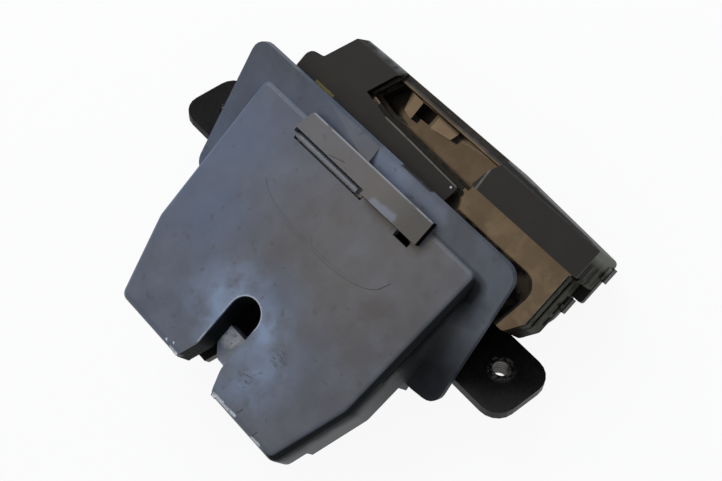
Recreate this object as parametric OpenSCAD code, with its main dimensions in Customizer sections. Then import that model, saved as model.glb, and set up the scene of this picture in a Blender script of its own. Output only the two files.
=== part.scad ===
// Boot lid lock: rotary claw latch with a moulded front cover, a steel frame plate
// with two inclined ears, and a motor-driven release in a flat housing.
// The lock lies on its back. X runs from ear to ear, Y from the fishmouth slot to the
// housing, Z up out of the front face. The origin is on the back, midway between the ears.

/* [Layout] */
// Distance between the two ear holes
hole_spacing = 125; // [112:1:140]
// Height of the cover's face above the back of the lock
face_z = 32; // [31:0.5:36]
// Height of the frame plate's front side above the back
plate_top_z = 17; // [16:0.5:18]

/* [Front cover] */
// Distance from the ear holes' line up to the top edge of the face
cover_top_y = 17.7; // [15:0.1:19]
// Height of the face from its top edge to the mouth
cover_h = 80.3; // [78:0.1:84]
// Height of the part above the bend of the sides
cover_bend_h = 54; // [48:0.5:60]
// Width of the face at the mouth
cover_w_mouth = 74.6; // [70:0.2:80]
// Width of the face at the bend
cover_w_bend = 90.6; // [88:0.2:94]
// Width of the face at its top edge
cover_w_top = 95.2; // [92:0.2:98]
// Wall thickness of the moulding
cover_wall = 2.4; // [1.8:0.1:3]
// Height of the skirt at the sides
skirt_h = 13; // [11:0.5:14]
// Rounding of the face's side edges
edge_r = 2.4; // [1:0.2:3]
// Corner radius of the face, seen from the front
corner_r = 3; // [2:0.5:5]
// Draft of the skirt on each side
skirt_draft = 0.5; // [0:0.1:1]

/* [Fishmouth slot] */
// Width of the slot for the striker
slot_w = 11.6; // [10:0.2:13]
// Y of the slot's round end
slot_end_y = -33; // [-36:0.5:-32]
// Extra width at each side of the mouth
slot_flare = 3; // [1.5:0.5:5]
// Length of the flared stretch
slot_flare_h = 8; // [5:0.5:11]
// Depth of the slot's walls behind the face
slot_wall_h = 9.4; // [8:0.2:9.6]

/* [Sealing collar] */
// Width of the collar
collar_w = 113.7; // [110:0.5:118]
// Y of the collar's top edge
collar_top_y = 25; // [23:0.5:27]
// Height of the collar's top edge above the face
collar_rise = 3; // [2:0.2:4]
// Y of the collar's bottom edge
collar_bottom_y = -20.5; // [-24:0.5:-18]
// Tilt of the collar against the face, degrees
collar_tilt = 22.9; // [20:0.5:24]
// Thickness of the collar
collar_t = 2; // [1.4:0.1:2.4]
// Corner radius of the collar
collar_r = 5; // [3:0.5:8]

/* [Strip and release slot] */
// Left end of the raised strip
strip_x0 = -27; // [-30:0.5:-24]
// Right end of the raised strip
strip_x1 = 27.6; // [24:0.2:30]
// Height of the strip above the face
strip_h = 2.6; // [1.5:0.2:4]
// Y of the strip's lower edge
strip_y0 = 11.2; // [10.8:0.2:12]
// Y of the strip's upper edge
strip_y1 = 19.4; // [18:0.2:21]
// Width of the release slot
release_slot_w = 3.2; // [2.8:0.1:3.6]
// Length of the release slot
release_slot_l = 30.4; // [29.8:0.2:33]
// Left end of the release slot
release_slot_x0 = -26.2; // [-28:0.2:-25]
// Length of the slider's bar
slider_l = 29.1; // [27:0.1:29.4]
// Width of the slider's bar
slider_w = 2.2; // [1.6:0.1:2.6]
// Width of the relief hole at the strip's right end
relief_w = 6; // [5:0.2:7]
// Height of the relief hole
relief_h = 2.4; // [1.8:0.2:3]

/* [Frame plate] */
// Sheet thickness
plate_t = 3; // [2:0.1:3]
// Gap between the plate's edge and the inside of the skirt
plate_inset = 0.8; // [0.4:0.1:1.6]
// Tilt of the ears against the plate, degrees
ear_tilt = 35; // [30:0.5:36]
// Y of the bend between plate and ears
fold_y = -9.4; // [-10.5:0.1:-9]
// Length of an ear above its hole, along the ear
ear_up = 10.4; // [9.4:0.2:11]
// Length of an ear beyond its hole, outwards
ear_out = 11.6; // [10:0.2:14]
// Part of an ear below the bend line, outside the cover
ear_low = 1.2; // [0.6:0.1:1.4]
// Corner radius of an ear
ear_r = 6.5; // [4:0.5:8]
// Inner end of an ear's arm, from the middle
ear_in_x = 38.5; // [38:0.5:40]
// Radius of the threaded hole's wall
ear_hole_r = 2.5; // [2.1:0.1:3.3]
// Outer radius of the hole's drawn collar
collet_r = 4.6; // [4:0.1:5.4]
// Length of the drawn collar behind the sheet
collet_h = 3; // [2:0.2:3.6]
// Top of the flat plate's middle part
plate_top_y = 8; // [7:0.5:8.6]
// Half width of the plate's middle part above the ears
plate_neck = 36.5; // [36:0.5:37.5]

/* [Claw] */
// X of the claw's pivot
claw_x = 15; // [14:0.5:16]
// Y of the claw's pivot
claw_y = -34; // [-35:0.5:-33.5]
// Thickness of the claw
claw_t = 4.6; // [3.6:0.1:4.8]
// Radius of the claw's hub
claw_hub_r = 12.4; // [11:0.2:12.6]
// Radius of the locking tooth
claw_tooth_r = 17.4; // [16.4:0.1:17.5]
// Width of the claw's mouth
claw_mouth_w = 10.6; // [9.6:0.2:11.2]
// Opening angle of the claw, degrees
claw_open = 50; // [40:1:50]
// Radius of the claw's pivot pin
claw_pin_r = 4; // [3:0.1:4.5]
// Thickness of the band moulded round the claw
band_t = 0.9; // [0.6:0.1:1.2]

/* [Pawl] */
// X of the pawl's pivot
pawl_x = -16; // [-18:0.5:-15]
// Y of the pawl's pivot
pawl_y = -6; // [-6.5:0.5:-5]
// Thickness of the pawl
pawl_t = 4; // [3:0.1:4.4]
// Width of the pawl's beam
pawl_w = 7; // [5:0.5:7]
// Width of the pawl's nose
pawl_nose_w = 4; // [3:0.2:4.4]
// Swing of the pawl from lifted to locked, degrees
pawl_swing = 8; // [6:0.5:8]
// Radius of the pawl's pivot pin
pawl_pin_r = 3; // [2.4:0.1:3.4]
// Running clearance of the pivots, radial
pivot_gap = 0.06; // [0.03:0.01:0.1]

/* [Housing] */
// Left end of the housing
case_x0 = -44; // [-48:0.5:-43]
// Right end of the housing
case_x1 = 64; // [62:0.5:70]
// Y of the housing's lower side
case_y0 = 9.7; // [9.4:0.1:11]
// Y of the housing's upper side
case_y1 = 45.5; // [44:0.5:50]
// Height of the housing's glossy face
case_z = 25.5; // [25:0.5:28]
// Height of the raised blocks on that face
block_h = 3; // [2:0.2:4]
// Wall thickness of the housing
case_wall = 2; // [1.6:0.1:2.4]
// Height of the joint between housing and rear cover
seam_z = 11; // [10:0.5:12]
// Step of the right end beside the upper block
case_step = 3.2; // [2:0.2:5]
// Step from the rear cover's rim to its pan
pan_gap = 0.8; // [0.4:0.1:0.9]
// Further inset of the pan at the right end
pan_inset = 3; // [1:0.2:4]
// Thickness of the rear cover's rim
rim_t = 2; // [1.6:0.1:2.6]
// Rise of the housing's upper side at its crest
case_crest = 0.6; // [0:0.1:1]
// Fall of the upper side at the right end
case_fall = 1.2; // [0.8:0.1:1.4]
// Height at which the upper side's bevel starts, from the side inwards
case_bevel = 2; // [1:0.2:2.4]
// Half width of the housing's stem behind the plate
stem_w = 34; // [33:0.5:34.5]
// Lowest Y of the housing's stem
stem_y0 = -28.8; // [-29.4:0.2:-28.4]

/* [Drive] */
// Radius of the motor's can
motor_r = 8; // [7:0.2:8]
// Length of the motor's can
motor_l = 24; // [20:0.5:25]
// X of the motor's front end
motor_x = 31; // [30.5:0.5:32]
// X of the worm wheel's axle
wheel_x = 4; // [3:0.5:5]
// Y of the worm wheel's axle
wheel_y = 22.2; // [22:0.1:22.6]
// Teeth of the worm wheel
wheel_teeth = 20; // [20:1:20]
// Radius of the worm wheel over its teeth
wheel_r = 9.8; // [9.7:0.1:9.8]
// Depth of the teeth
tooth_h = 1.9; // [1.7:0.1:1.9]
// Thickness of the worm wheel
wheel_t = 3.2; // [2.6:0.2:4]
// Length of the worm
worm_l = 9; // [8:0.5:10]
// Clearance between tooth tip and root
tip_gap = 0.4; // [0.3:0.05:0.5]
// Radius of the cam's lobe
cam_r = 8; // [7:0.1:8]
// Thickness of the cam and of the release lever
cam_t = 3; // [2.4:0.1:3]
// Turn of the parked cam from the -Y direction, degrees
cam_park = 15; // [12:1:18]

/* [Small parts] */
// Diameter of the screws' shank
screw_d = 3.4; // [3:0.1:4]
// Diameter of the screws' head
screw_head_d = 6.6; // [6:0.1:7.2]
// Height of the screws' head
screw_head_h = 2; // [1.6:0.1:2.2]
// Length of the screws' shank
screw_l = 9; // [8:0.5:10]
// Wire of the pivots' springs
wire_d = 1.4; // [1:0.1:1.6]
// Length of the claw spring's legs
claw_leg = 9; // [7:0.5:9.5]
// Length of the pawl spring's legs
pawl_leg = 7; // [5:0.5:8]
// Number of blades in the socket
blade_n = 5; // [3:1:5]
// Width and height of a blade
blade_t = 0.8; // [0.6:0.1:1]
// Distance from blade to blade
blade_pitch = 1.8; // [1.6:0.1:2]
// Length of the socket
socket_l = 14; // [11:0.5:15]

/* [Hidden] */
$fn = 48;

// Smallest overlap that lets a cut run past a face
cut = 1;
// Gap between pieces that pass one another
free = 0.3;

// Front cover
mouth_y = cover_top_y - cover_h;
bend_y = cover_top_y - cover_bend_h;
face_in_z = face_z - cover_wall;
skirt_z = face_z - skirt_h;
collar_top_z = face_z + collar_rise;
slot_r = slot_w / 2;
slot_wall_z = face_z - slot_wall_h;
relief_x0 = strip_x1 - relief_w - 2.4;
release_y = strip_y0 - 0.25;
slider_x0 = release_slot_x0 + free;
slider_x1 = slider_x0 + slider_l;
slot_x1 = release_slot_x0 + release_slot_l;
slider_travel = 2.4;
// Lip at the slot's right end, which the slider's lowered end passes under
slot_lip_t = 1;
slider_low_l = slider_x1 + slider_travel - slot_x1 + free;
seat_r = 4.2;
// Distance of a screw seat from the stem's edge
seat_edge = 1.4;

// Frame plate
plate_z = plate_top_z - plate_t;
ear_x = hole_spacing / 2;
// Distance from the bend to the hole, along the ear
ear_run = -fold_y / cos(ear_tilt);
plate_slot_end_y = slot_end_y - 1;

// Claw layer
claw_z = plate_top_z + free;
claw_top_z = claw_z + claw_t;
striker_y = slot_end_y - slot_r - 1.9;
mouth_hi = striker_y + claw_mouth_w / 2;
mouth_lo = striker_y - claw_mouth_w / 2;
pin_top_z = face_in_z - 0.6;

// Pawl
lever_z = 6;
pawl_z = plate_top_z + free;
nose_x = claw_x + 2.3;
nose_y = claw_y + claw_tooth_r + 0.7;

// Housing
block_z = case_z + block_h;
pan_top_z = seam_z - rim_t;
worm_root_r = 1.6;
worm_r = worm_root_r + tooth_h;
worm_y = wheel_y + wheel_r + tip_gap + worm_root_r;
drive_z = 12.5;
worm_pitch = 2 * PI * (wheel_r - tooth_h / 2) / wheel_teeth;

// Points of a polygon with each corner rounded by its own radius, n steps to a corner
function unit(v) = v / norm(v);
function arc_pts(p, a, b, r, n) =
    let (u = unit(a - p), w = unit(b - p), h = acos(u * w) / 2, d = r / tan(h),
         c = p + unit(u + w) * r / sin(h), s = p + u * d - c, e = p + w * d - c,
         a0 = atan2(s[1], s[0]), t = atan2(e[1], e[0]) - a0,
         sw = t > 180 ? t - 360 : t < -180 ? t + 360 : t)
    [for (i = [0:n]) c + r * [cos(a0 + sw * i / n), sin(a0 + sw * i / n)]];
function round_pts(pts, r, n = 5) = [for (i = [0:len(pts) - 1])
    let (m = len(pts), q = is_list(r) ? r[i] : r)
    each q < 0.05 ? [pts[i]] : arc_pts(pts[i], pts[(i + m - 1) % m], pts[(i + 1) % m], q, n)];
function mirror_x(pts) = concat(pts, [for (i = [len(pts) - 1:-1:0]) [-pts[i][0], pts[i][1]]]);

// Outline of the cover's face, drawn in by d
function face_outline(d) = mirror_x([
    [cover_w_mouth / 2 - d, mouth_y + d],
    [cover_w_bend / 2 - d, bend_y],
    [cover_w_top / 2 - d, cover_top_y - d]]);

module face_shape(d) {
    rr = max(corner_r - d, 0.6);
    polygon(round_pts(face_outline(d), [rr, 6, rr, rr, 6, rr]));
}

// Fishmouth slot, grown by d
module slot_shape(d) {
    r = slot_r + d;
    translate([0, slot_end_y - slot_r])
        circle(r = r);
    polygon(round_pts([
        [r, slot_end_y - slot_r],
        [r, mouth_y + slot_flare_h],
        [r + slot_flare, mouth_y - d],
        [r + slot_flare, mouth_y - 4],
        [-r - slot_flare, mouth_y - 4],
        [-r - slot_flare, mouth_y - d],
        [-r, mouth_y + slot_flare_h],
        [-r, slot_end_y - slot_r]], [0, 7, 2, 0, 0, 2, 7, 0]));
}

// Frame of the tilted collar: its top edge lies on the X axis, the sheet runs to -Y
module collar_frame() {
    translate([0, collar_top_y, collar_top_z])
        rotate([collar_tilt, 0, 0])
            children();
}
collar_l = (collar_top_y - collar_bottom_y) / cos(collar_tilt);

module collar_sheet(grow_z) {
    w = collar_w / 2;
    collar_frame()
        translate([0, 0, -collar_t - grow_z])
            linear_extrude(collar_t + grow_z)
                polygon(round_pts([[w, 0], [w, -collar_l], [w - 9, -collar_l - 1.2],
                    [9 - w, -collar_l - 1.2], [-w, -collar_l], [-w, 0]],
                    [collar_r, collar_r, 1, 1, collar_r, collar_r]));
}

// Closed outer body of the cover with its rounded face edges and drafted skirt
module cover_body() {
    hull() {
        for (a = [0:22.5:90])
            translate([0, 0, face_z - edge_r * (1 - cos(a)) - 0.02])
                linear_extrude(0.02)
                    face_shape(edge_r * (1 - sin(a)));
        translate([0, 0, skirt_z])
            linear_extrude(0.02)
                face_shape(-skirt_draft);
    }
}

module cover_inside() {
    translate([0, 0, skirt_z - 20])
        linear_extrude(face_in_z - skirt_z + 20)
            face_shape(cover_wall);
}

// Half-space above the tilted collar's back side
module above_collar() {
    collar_frame()
        translate([-100, -160, -collar_t])
            cube([200, 320, 60]);
}

// Side walls that follow the collar down where it dips below the skirt
module collar_neck() {
    intersection() {
        translate([0, 0, skirt_z - 8])
            linear_extrude(face_z - edge_r - skirt_z + 8)
                difference() {
                    face_shape(-0.2);
                    face_shape(cover_wall);
                }
        above_collar();
        translate([-100, collar_bottom_y - 3, 0])
            cube([200, collar_top_y - collar_bottom_y, face_z + 10]);
    }
}

module cover_skin() {
    difference() {
        union() {
            cover_body();
            collar_sheet(0);
        }
        cover_inside();
    }
}

module snap_post(x, y) {
    translate([x, y, plate_top_z])
        cylinder(r = seat_r, h = face_in_z - plate_top_z + 0.5);
}

// Arc embossed on the face: flat at the bottom, turned up at both ends
arc_x = 1.6;
arc_w = 28.6;
arc_h = 10.7;
arc_line = 0.7;
// Right half is shorter by
arc_short = 1.4;
arc_n = 16;
function arc_pt(i, d) = let (u = (i < 0 ? 0.93 : 0.997) * i / arc_n)
    [arc_x + (arc_w - (i < 0 ? 0 : arc_short) - d) * u,
        -(arc_h - d) * pow(1 - pow(abs(u), 2.6), 1 / 2.6)];
module face_arc() {
    translate([0, 0, face_z - 0.02])
        linear_extrude(0.2)
            polygon(concat([for (i = [-arc_n:arc_n]) arc_pt(i, 0)],
                [for (i = [-arc_n:arc_n]) arc_pt(-i, arc_line)]));
}

gap_line = 0.4;
// Right end of the ramp behind the strip
ramp_x1 = -0.6;
function collar_z(y) = collar_top_z - (collar_top_y - y) * tan(collar_tilt);
// Section of the ramp: from the strip up to the collar's edge
module ramp_slab(x, z) {
    translate([x, 0, 0])
        rotate([90, 0, 90])
            linear_extrude(0.02)
                polygon([[strip_y1 - 1, face_z - 1], [collar_top_y - 0.1, collar_top_z - collar_t],
                    [collar_top_y - 0.1, collar_top_z - 0.1], [strip_y1 - 1, z]]);
}
cover_seats = [[38, -16.5], [-38, -16.5], [33, -53.2], [-33, -53.2]];

module front_cover() {
    color([0.20, 0.21, 0.24])
    difference() {
        union() {
            cover_skin();
            collar_neck();
            // walls of the fishmouth slot
            intersection() {
                translate([0, 0, slot_wall_z])
                    linear_extrude(face_z - 0.5 - slot_wall_z)
                        slot_shape(cover_wall);
                translate([0, 0, slot_wall_z - cut])
                    linear_extrude(face_z)
                        face_shape(0.3);
            }
            // raised strip over the release slot
            translate([0, 0, face_in_z])
                linear_extrude(cover_wall + strip_h)
                    polygon(round_pts([[strip_x0, strip_y0], [strip_x1, strip_y0],
                        [strip_x1, strip_y1], [strip_x0 + 2, strip_y1]], [0.4, 0.3, 0.3, 1.6]));
            // ramp that joins the strip's left half to the collar
            hull() {
                ramp_slab(strip_x0 + 3, collar_z(strip_y1 - 1));
                ramp_slab(ramp_x1, face_z + strip_h - 0.6);
            }
            for (p = cover_seats)
                snap_post(p[0], p[1]);
            face_arc();
        }
        // skirt stays open at the mouth so that the claw can swing out
        translate([-100, mouth_y - 5, skirt_z - 20])
            cube([200, 5 + cover_wall + 5, slot_wall_z - skirt_z + 20]);
        translate([0, 0, skirt_z - 20])
            linear_extrude(60)
                slot_shape(0);
        // slot of the release slider
        translate([release_slot_x0, release_y - release_slot_w / 2, face_in_z - 5])
            cube([release_slot_l, release_slot_w, 40]);
        // room under the lip for the slider's lowered end
        translate([slot_x1 - cut, release_y - release_slot_w / 2, face_in_z - 5])
            cube([cut + slider_x1 + slider_travel + free - slot_x1, release_slot_w,
                5 + cover_wall - slot_lip_t]);
        // fine gap line from the release slot to the relief hole
        translate([slot_x1 - cut, release_y - gap_line / 2, face_z - 0.8])
            cube([strip_x1 - relief_w - slot_x1, gap_line, 1]);
        // relief hole below the strip's right end
        translate([relief_x0, strip_y0 - relief_h, face_in_z - 5])
            cube([relief_w, relief_h, 5 + cover_wall + 0.4]);
        // the strip's right end is open
        translate([strip_x1 - 5, strip_y0 + 0.7, face_z + 0.1])
            cube([6, strip_y1 - strip_y0 - 1.4, strip_h - 0.9]);
        // pilot holes of the seats
        for (p = cover_seats)
            translate([p[0], p[1], plate_z])
                cylinder(d = screw_d, h = screw_l + 1);
        // room for the housing behind the collar
        case_clearance();
    }
}

module case_clearance() {
    translate([case_x0 - 1, case_y0 - free, 0])
        cube([case_x1 - case_x0 + 8, 60, case_z + free]);
    translate([case_x0 - 1, collar_top_y - 0.6, 0])
        cube([case_x1 - case_x0 + 8, 30, block_z + free]);
    translate([case_x0 - socket_l - 1, socket_y0 - free, 0])
        cube([socket_l + 2, socket_w + 2 * free, socket_z0 + socket_h + free]);
}

module release_slider() {
    color([0.42, 0.43, 0.46]) {
        translate([slider_x0, release_y, face_z - 0.6])
            rotate([0, 90, 0])
                rounded_bar(slider_l - slider_low_l, slider_w);
        translate([slider_x0 + 1, release_y - slider_w / 2 + 0.3, face_in_z - 1.6])
            cube([slider_l - slider_low_l - 1, slider_w - 0.6, cover_wall + 0.8]);
        // lowered end that passes under the slot's lip
        translate([slider_x1 - slider_low_l - 1, release_y - slider_w / 2, face_in_z - 1.6])
            cube([slider_low_l + 1, slider_w, cover_wall + 1.6 - slot_lip_t - free]);
        // guide foot behind the face, with the fork that takes the pawl's arm
        translate([slider_x0 + 1, release_y - 3, face_in_z - 1.9])
            cube([slider_l - 2, 6, 1.6]);
        for (s = [-1, 1])
            translate([pawl_x + s * 3.8 - 0.9, release_y - 2, pawl_z + 1])
                cube([1.8, 4, face_in_z - 1.9 - pawl_z - 0.9]);
    }
}

// Half-round bar along Z
module rounded_bar(l, w) {
    cylinder(r = w / 2, h = l);
}

// Plan of the flat frame plate
module plate_shape() {
    d = cover_wall + plate_inset;
    difference() {
        union() {
            polygon(round_pts([
                [cover_w_mouth / 2 - d, mouth_y + 1.6],
                [cover_w_bend / 2 - d, bend_y],
                [cover_w_bend / 2 - d + 0.4, fold_y],
                [ear_in_x, fold_y],
                [-ear_in_x, fold_y],
                [-cover_w_bend / 2 + d - 0.4, fold_y],
                [-cover_w_bend / 2 + d, bend_y],
                [-cover_w_mouth / 2 + d, mouth_y + 1.6]], [3, 5, 0, 0, 0, 0, 5, 3]));
            translate([-plate_neck, fold_y - 2])
                square([2 * plate_neck, plate_top_y - fold_y + 2]);
        }
        // the plate's own fishmouth, a little shorter than the cover's
        translate([0, -1])
            slot_shape(-0.2);
    }
}

// Ear frame: bend line on the X axis, +Y up along the ear, Z out of its front side
module ear_frame() {
    translate([0, fold_y, plate_top_z])
        rotate([-ear_tilt, 0, 0])
            children();
}

module ear(s) {
    x1 = ear_x + ear_out;
    ear_frame()
        mirror([s < 0 ? 1 : 0, 0, 0])
            difference() {
                union() {
                    translate([0, 0, -plate_t])
                        linear_extrude(plate_t)
                            polygon(round_pts([[ear_in_x, 0], [ear_in_x + 6, 0],
                                [ear_in_x + 8, -ear_low], [x1, -ear_low],
                                [x1, ear_run + ear_up], [ear_in_x, ear_run + ear_up]],
                                [0, 0, 0, ear_r, ear_r, 3]));
                    translate([ear_x, ear_run, -plate_t - collet_h])
                        cylinder(r1 = collet_r - 0.6, r2 = collet_r, h = collet_h + 0.1);
                    // low raised ring round the hole
                    translate([ear_x, ear_run, -0.1])
                        cylinder(r1 = collet_r, r2 = collet_r - 0.4, h = 0.7);
                }
                translate([ear_x, ear_run, -plate_t - collet_h - cut])
                    cylinder(r = ear_hole_r, h = plate_t + collet_h + 4 * cut);
            }
}

module frame_plate() {
    color([0.12, 0.11, 0.11])
    difference() {
        union() {
            translate([0, 0, plate_z])
                linear_extrude(plate_t)
                    plate_shape();
            ear(1);
            ear(-1);
            // lug that carries the rubber stop
            translate([stop_x + stop_t, stop_y, plate_top_z - 0.1])
                cube([2, stop_l, claw_t + 0.6]);
        }
        for (p = concat(cover_seats, case_seats))
            translate([p[0], p[1], plate_z - cut])
                cylinder(d = screw_d + 0.4, h = plate_t + 2 * cut);
        translate([claw_x, claw_y, plate_z - cut])
            cylinder(r = claw_pin_r - 1, h = plate_t + 2 * cut);
        translate([pawl_x, pawl_y, plate_z - cut])
            cylinder(r = pawl_pin_r, h = plate_t + 2 * cut);
        // curved slot for the dowel between pawl and lever
        translate([pawl_x, pawl_y, plate_z - cut])
            for (a = [-pawl_swing:2:0])
                rotate(a)
                    translate([dowel_reach, 0])
                        cylinder(r = dowel_r + 0.7, h = plate_t + 2 * cut, $fn = 24);
    }
}
dowel_reach = 9.6;
dowel_r = 1.6;
case_seat_x = stem_w - seat_r - seat_edge;
case_seats = [for (y = [case_y0 - 1.5 * seat_r, stem_y0 + seat_r + seat_edge], s = [1, -1])
    [s * case_seat_x, y]];

// Plans of the claw's parts in its closed position, pivot at the origin
hook_tip_x = -7.5 - claw_x;
// Hook that holds the striker
module claw_hook() {
    polygon(round_pts([
        [-6, mouth_lo - claw_y + 6],
        [hook_tip_x + 14, mouth_lo - claw_y + 0.4],
        [hook_tip_x, mouth_lo - claw_y],
        [hook_tip_x, mouth_lo - claw_y - 5],
        [hook_tip_x + 4.8, mouth_lo - claw_y - 10.2],
        [hook_tip_x + 14, mouth_lo - claw_y - 10.4],
        [6, -8.6]], [0, 0, 1.2, 2, 2.4, 5, 0]));
}

// Catch that the striker pushes
module claw_catch() {
    polygon(round_pts([
        [-2, mouth_hi - claw_y - 2],
        [hook_tip_x + 2.5, mouth_hi - claw_y - 0.3],
        [hook_tip_x + 2.5, mouth_hi - claw_y + 8.2],
        [hook_tip_x + 9.5, mouth_hi - claw_y + 9.4],
        [-4, claw_hub_r - 2]], [0, 2, 2.4, 5, 0]));
}

// Locking tooth with its ramp
module claw_tooth() {
    polygon([[1, 7],
        tooth_in, tooth_out,
        claw_tooth_r * [cos(78), sin(78)],
        claw_tooth_r * [cos(74), sin(74)],
        (claw_hub_r + 1.2) * [cos(60), sin(60)],
        (claw_hub_r - 4) * [cos(50), sin(50)]]);
}

// Mouth with its rounded end
module claw_mouth() {
    polygon(round_pts([
        [-60, mouth_lo - claw_y],
        [mouth_end_x, mouth_lo - claw_y],
        [mouth_end_x, mouth_hi - claw_y],
        [-60, mouth_hi - claw_y]], [0, claw_mouth_w * 0.46, claw_mouth_w * 0.46, 0], 8));
}
mouth_end_x = slot_r + 0.6 - claw_x;
// Locking face of the tooth: square to the line from the pawl's pivot to the locked nose
lock_c = rot2([nose_x - pawl_x, nose_y - pawl_y], -pawl_swing) + [pawl_x, pawl_y];
lock_v = lock_c - [pawl_x, pawl_y];
lock_d = [-lock_v[1], lock_v[0]] / norm(lock_v);
function rot2(v, a) = [v[0] * cos(a) - v[1] * sin(a), v[0] * sin(a) + v[1] * cos(a)];
tooth_base = lock_c - [claw_x, claw_y] + free * [lock_d[1], -lock_d[0]];
tooth_in = tooth_base - 3 * lock_d;
tooth_out = tooth_base + (claw_tooth_r - norm(tooth_base)) * 1.0 * lock_d;

module claw() {
    color([0.62, 0.62, 0.62])
    translate([claw_x, claw_y, claw_z])
        difference() {
            union() {
                cylinder(r = claw_hub_r, h = claw_t, $fn = 64);
                linear_extrude(claw_t)
                    claw_hook();
                linear_extrude(claw_t)
                    claw_catch();
                linear_extrude(claw_t)
                    claw_tooth();
            }
            translate([0, 0, -cut])
                linear_extrude(claw_t + 2 * cut)
                    claw_mouth();
            translate([0, 0, -cut])
                cylinder(r = claw_pin_r + pivot_gap, h = claw_t + 2 * cut);
        }
}

// Band round the free sector of the hub, from the hook's back to the tooth's ramp
module claw_band() {
    color([0.10, 0.10, 0.11])
    translate([claw_x, claw_y, claw_z])
        difference() {
            rotate([0, 0, -73])
                rotate_extrude(angle = 119, $fn = 64)
                    translate([claw_hub_r, 0])
                        square([band_t, claw_t]);
            translate([0, 0, -cut])
                cylinder(r = claw_hub_r, h = claw_t + 2 * cut, $fn = 64);
        }
}

module claw_pin() {
    color([0.72, 0.72, 0.73])
    translate([claw_x, claw_y, 0]) {
        translate([0, 0, plate_z - 1.4])
            cylinder(r = claw_pin_r + 0.6, h = 1.4);
        translate([0, 0, plate_z - 0.1])
            cylinder(r = claw_pin_r - 1, h = plate_t + 0.2);
        translate([0, 0, plate_top_z])
            cylinder(r = claw_pin_r, h = pin_top_z - plate_top_z);
    }
}

// Coil of n turns with two straight legs
coil_pitch = wire_d * 0.94;
module torsion_coil(r, n, a1, l1, a2, l2) {
    for (i = [0:n - 1])
        translate([0, 0, wire_d / 2 + coil_pitch * i])
            rotate_extrude($fn = 40)
                translate([r, 0])
                    circle(d = wire_d, $fn = 16);
    rotate([0, 0, a1])
        translate([r, 0, wire_d / 2])
            rotate([-90, 0, 0])
                cylinder(d = wire_d * 0.98, h = l1, $fn = 16);
    rotate([0, 0, a2])
        translate([r, 0, wire_d / 2 + coil_pitch * (n - 1)])
            rotate([90, 0, 0])
                cylinder(d = wire_d * 0.98, h = l2, $fn = 16);
}

module claw_spring() {
    color([0.66, 0.66, 0.68])
    translate([claw_x, claw_y, claw_top_z + 0.1])
        torsion_coil(claw_pin_r + wire_d / 2 + free, 3, 60, claw_leg, -60, claw_leg);
}

// Beam with the nose; the nose's face lies square to the line from the pivot
module pawl_beam() {
    b = pawl_w / 2;
    v = [nose_x - pawl_x, nose_y - pawl_y];
    up = [-v[1], v[0]] / norm(v);
    polygon(round_pts([
        [-2, b], [v[0] + 1.6, b],
        v + 4.5 * up,
        v,
        [v[0] - pawl_nose_w, v[1]],
        [v[0] - pawl_nose_w, -b],
        [-2, -b]], [0, 2.5, 0, 0.4, 0.8, 2, 0]));
}

// Arm into the slider's fork
module pawl_arm() {
    polygon(round_pts([[-3.2, 1], [3.2, 1], [1.9, release_y - pawl_y + 1.4],
        [-1.9, release_y - pawl_y + 1.4]], [0, 0, 1.6, 1.6]));
}

module pawl() {
    color([0.55, 0.54, 0.50])
    translate([pawl_x, pawl_y, pawl_z])
        difference() {
            union() {
                cylinder(r = pawl_w, h = pawl_t);
                linear_extrude(pawl_t)
                    pawl_beam();
                linear_extrude(pawl_t)
                    pawl_arm();
            }
            translate([0, 0, -cut])
                cylinder(r = pawl_pin_r + pivot_gap, h = pawl_t + 2 * cut);
            translate([dowel_reach, 0, -cut])
                cylinder(r = dowel_r, h = 3 + cut);
        }
}

module pawl_pin() {
    color([0.72, 0.72, 0.73])
    translate([pawl_x, pawl_y, 0]) {
        translate([0, 0, rear_floor + 0.5])
            cylinder(r = pawl_pin_r, h = pin_top_z - rear_floor - 0.5);
    }
}
rear_floor = 2;

module pawl_spring() {
    color([0.66, 0.66, 0.68])
    translate([pawl_x, pawl_y, pawl_z + pawl_t + 0.1])
        torsion_coil(pawl_pin_r + wire_d / 2 + free, 2, 100, pawl_leg, 20, pawl_leg + 1);
}

module drive_dowel() {
    color([0.72, 0.72, 0.73])
    translate([pawl_x + dowel_reach, pawl_y, lever_z])
        cylinder(r = dowel_r, h = pawl_z + 3 - lever_z);
}

// Lever behind the plate: hub, eye for the dowel and a finger beside the cam
module release_lever() {
    tip = [wheel_x - cam_r - free - pawl_x, wheel_y - 2 - pawl_y];
    color([0.50, 0.50, 0.48])
    translate([pawl_x, pawl_y, lever_z])
        difference() {
            linear_extrude(cam_t)
                union() {
                    circle(r = pawl_w, $fn = 48);
                    translate([dowel_reach, 0])
                        circle(r = dowel_r + 2.2);
                    polygon(round_pts([[0, -dowel_r - 2.2], [dowel_reach, -dowel_r - 2.2],
                        [dowel_reach, dowel_r + 2.2], [0, dowel_r + 2.2]], 0));
                    polygon(round_pts([[pawl_w - 0.4, 1], [tip[0], tip[1] - 6],
                        [tip[0], tip[1] + 1.4], [tip[0] - 4.4, tip[1] + 1.4],
                        [tip[0] - 5.6, tip[1] - 6], [-pawl_w + 0.6, 2]],
                        [0, 3, 1.6, 1.6, 4, 0]));
                }
            translate([0, 0, -cut])
                cylinder(r = pawl_pin_r + pivot_gap, h = cam_t + 2 * cut);
            translate([dowel_reach, 0, -cut])
                cylinder(r = dowel_r, h = cam_t + 2 * cut);
        }
}

// Rubber stop held on the plate's lug; the open claw's hook rests against it
stop_x = claw_x + 13.6;
stop_y = claw_y - 14;
stop_t = 2.6;
stop_l = 6;
module buffer() {
    color([0.08, 0.08, 0.08])
    translate([stop_x, stop_y, plate_top_z])
        cube([stop_t, stop_l, claw_t]);
}

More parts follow.
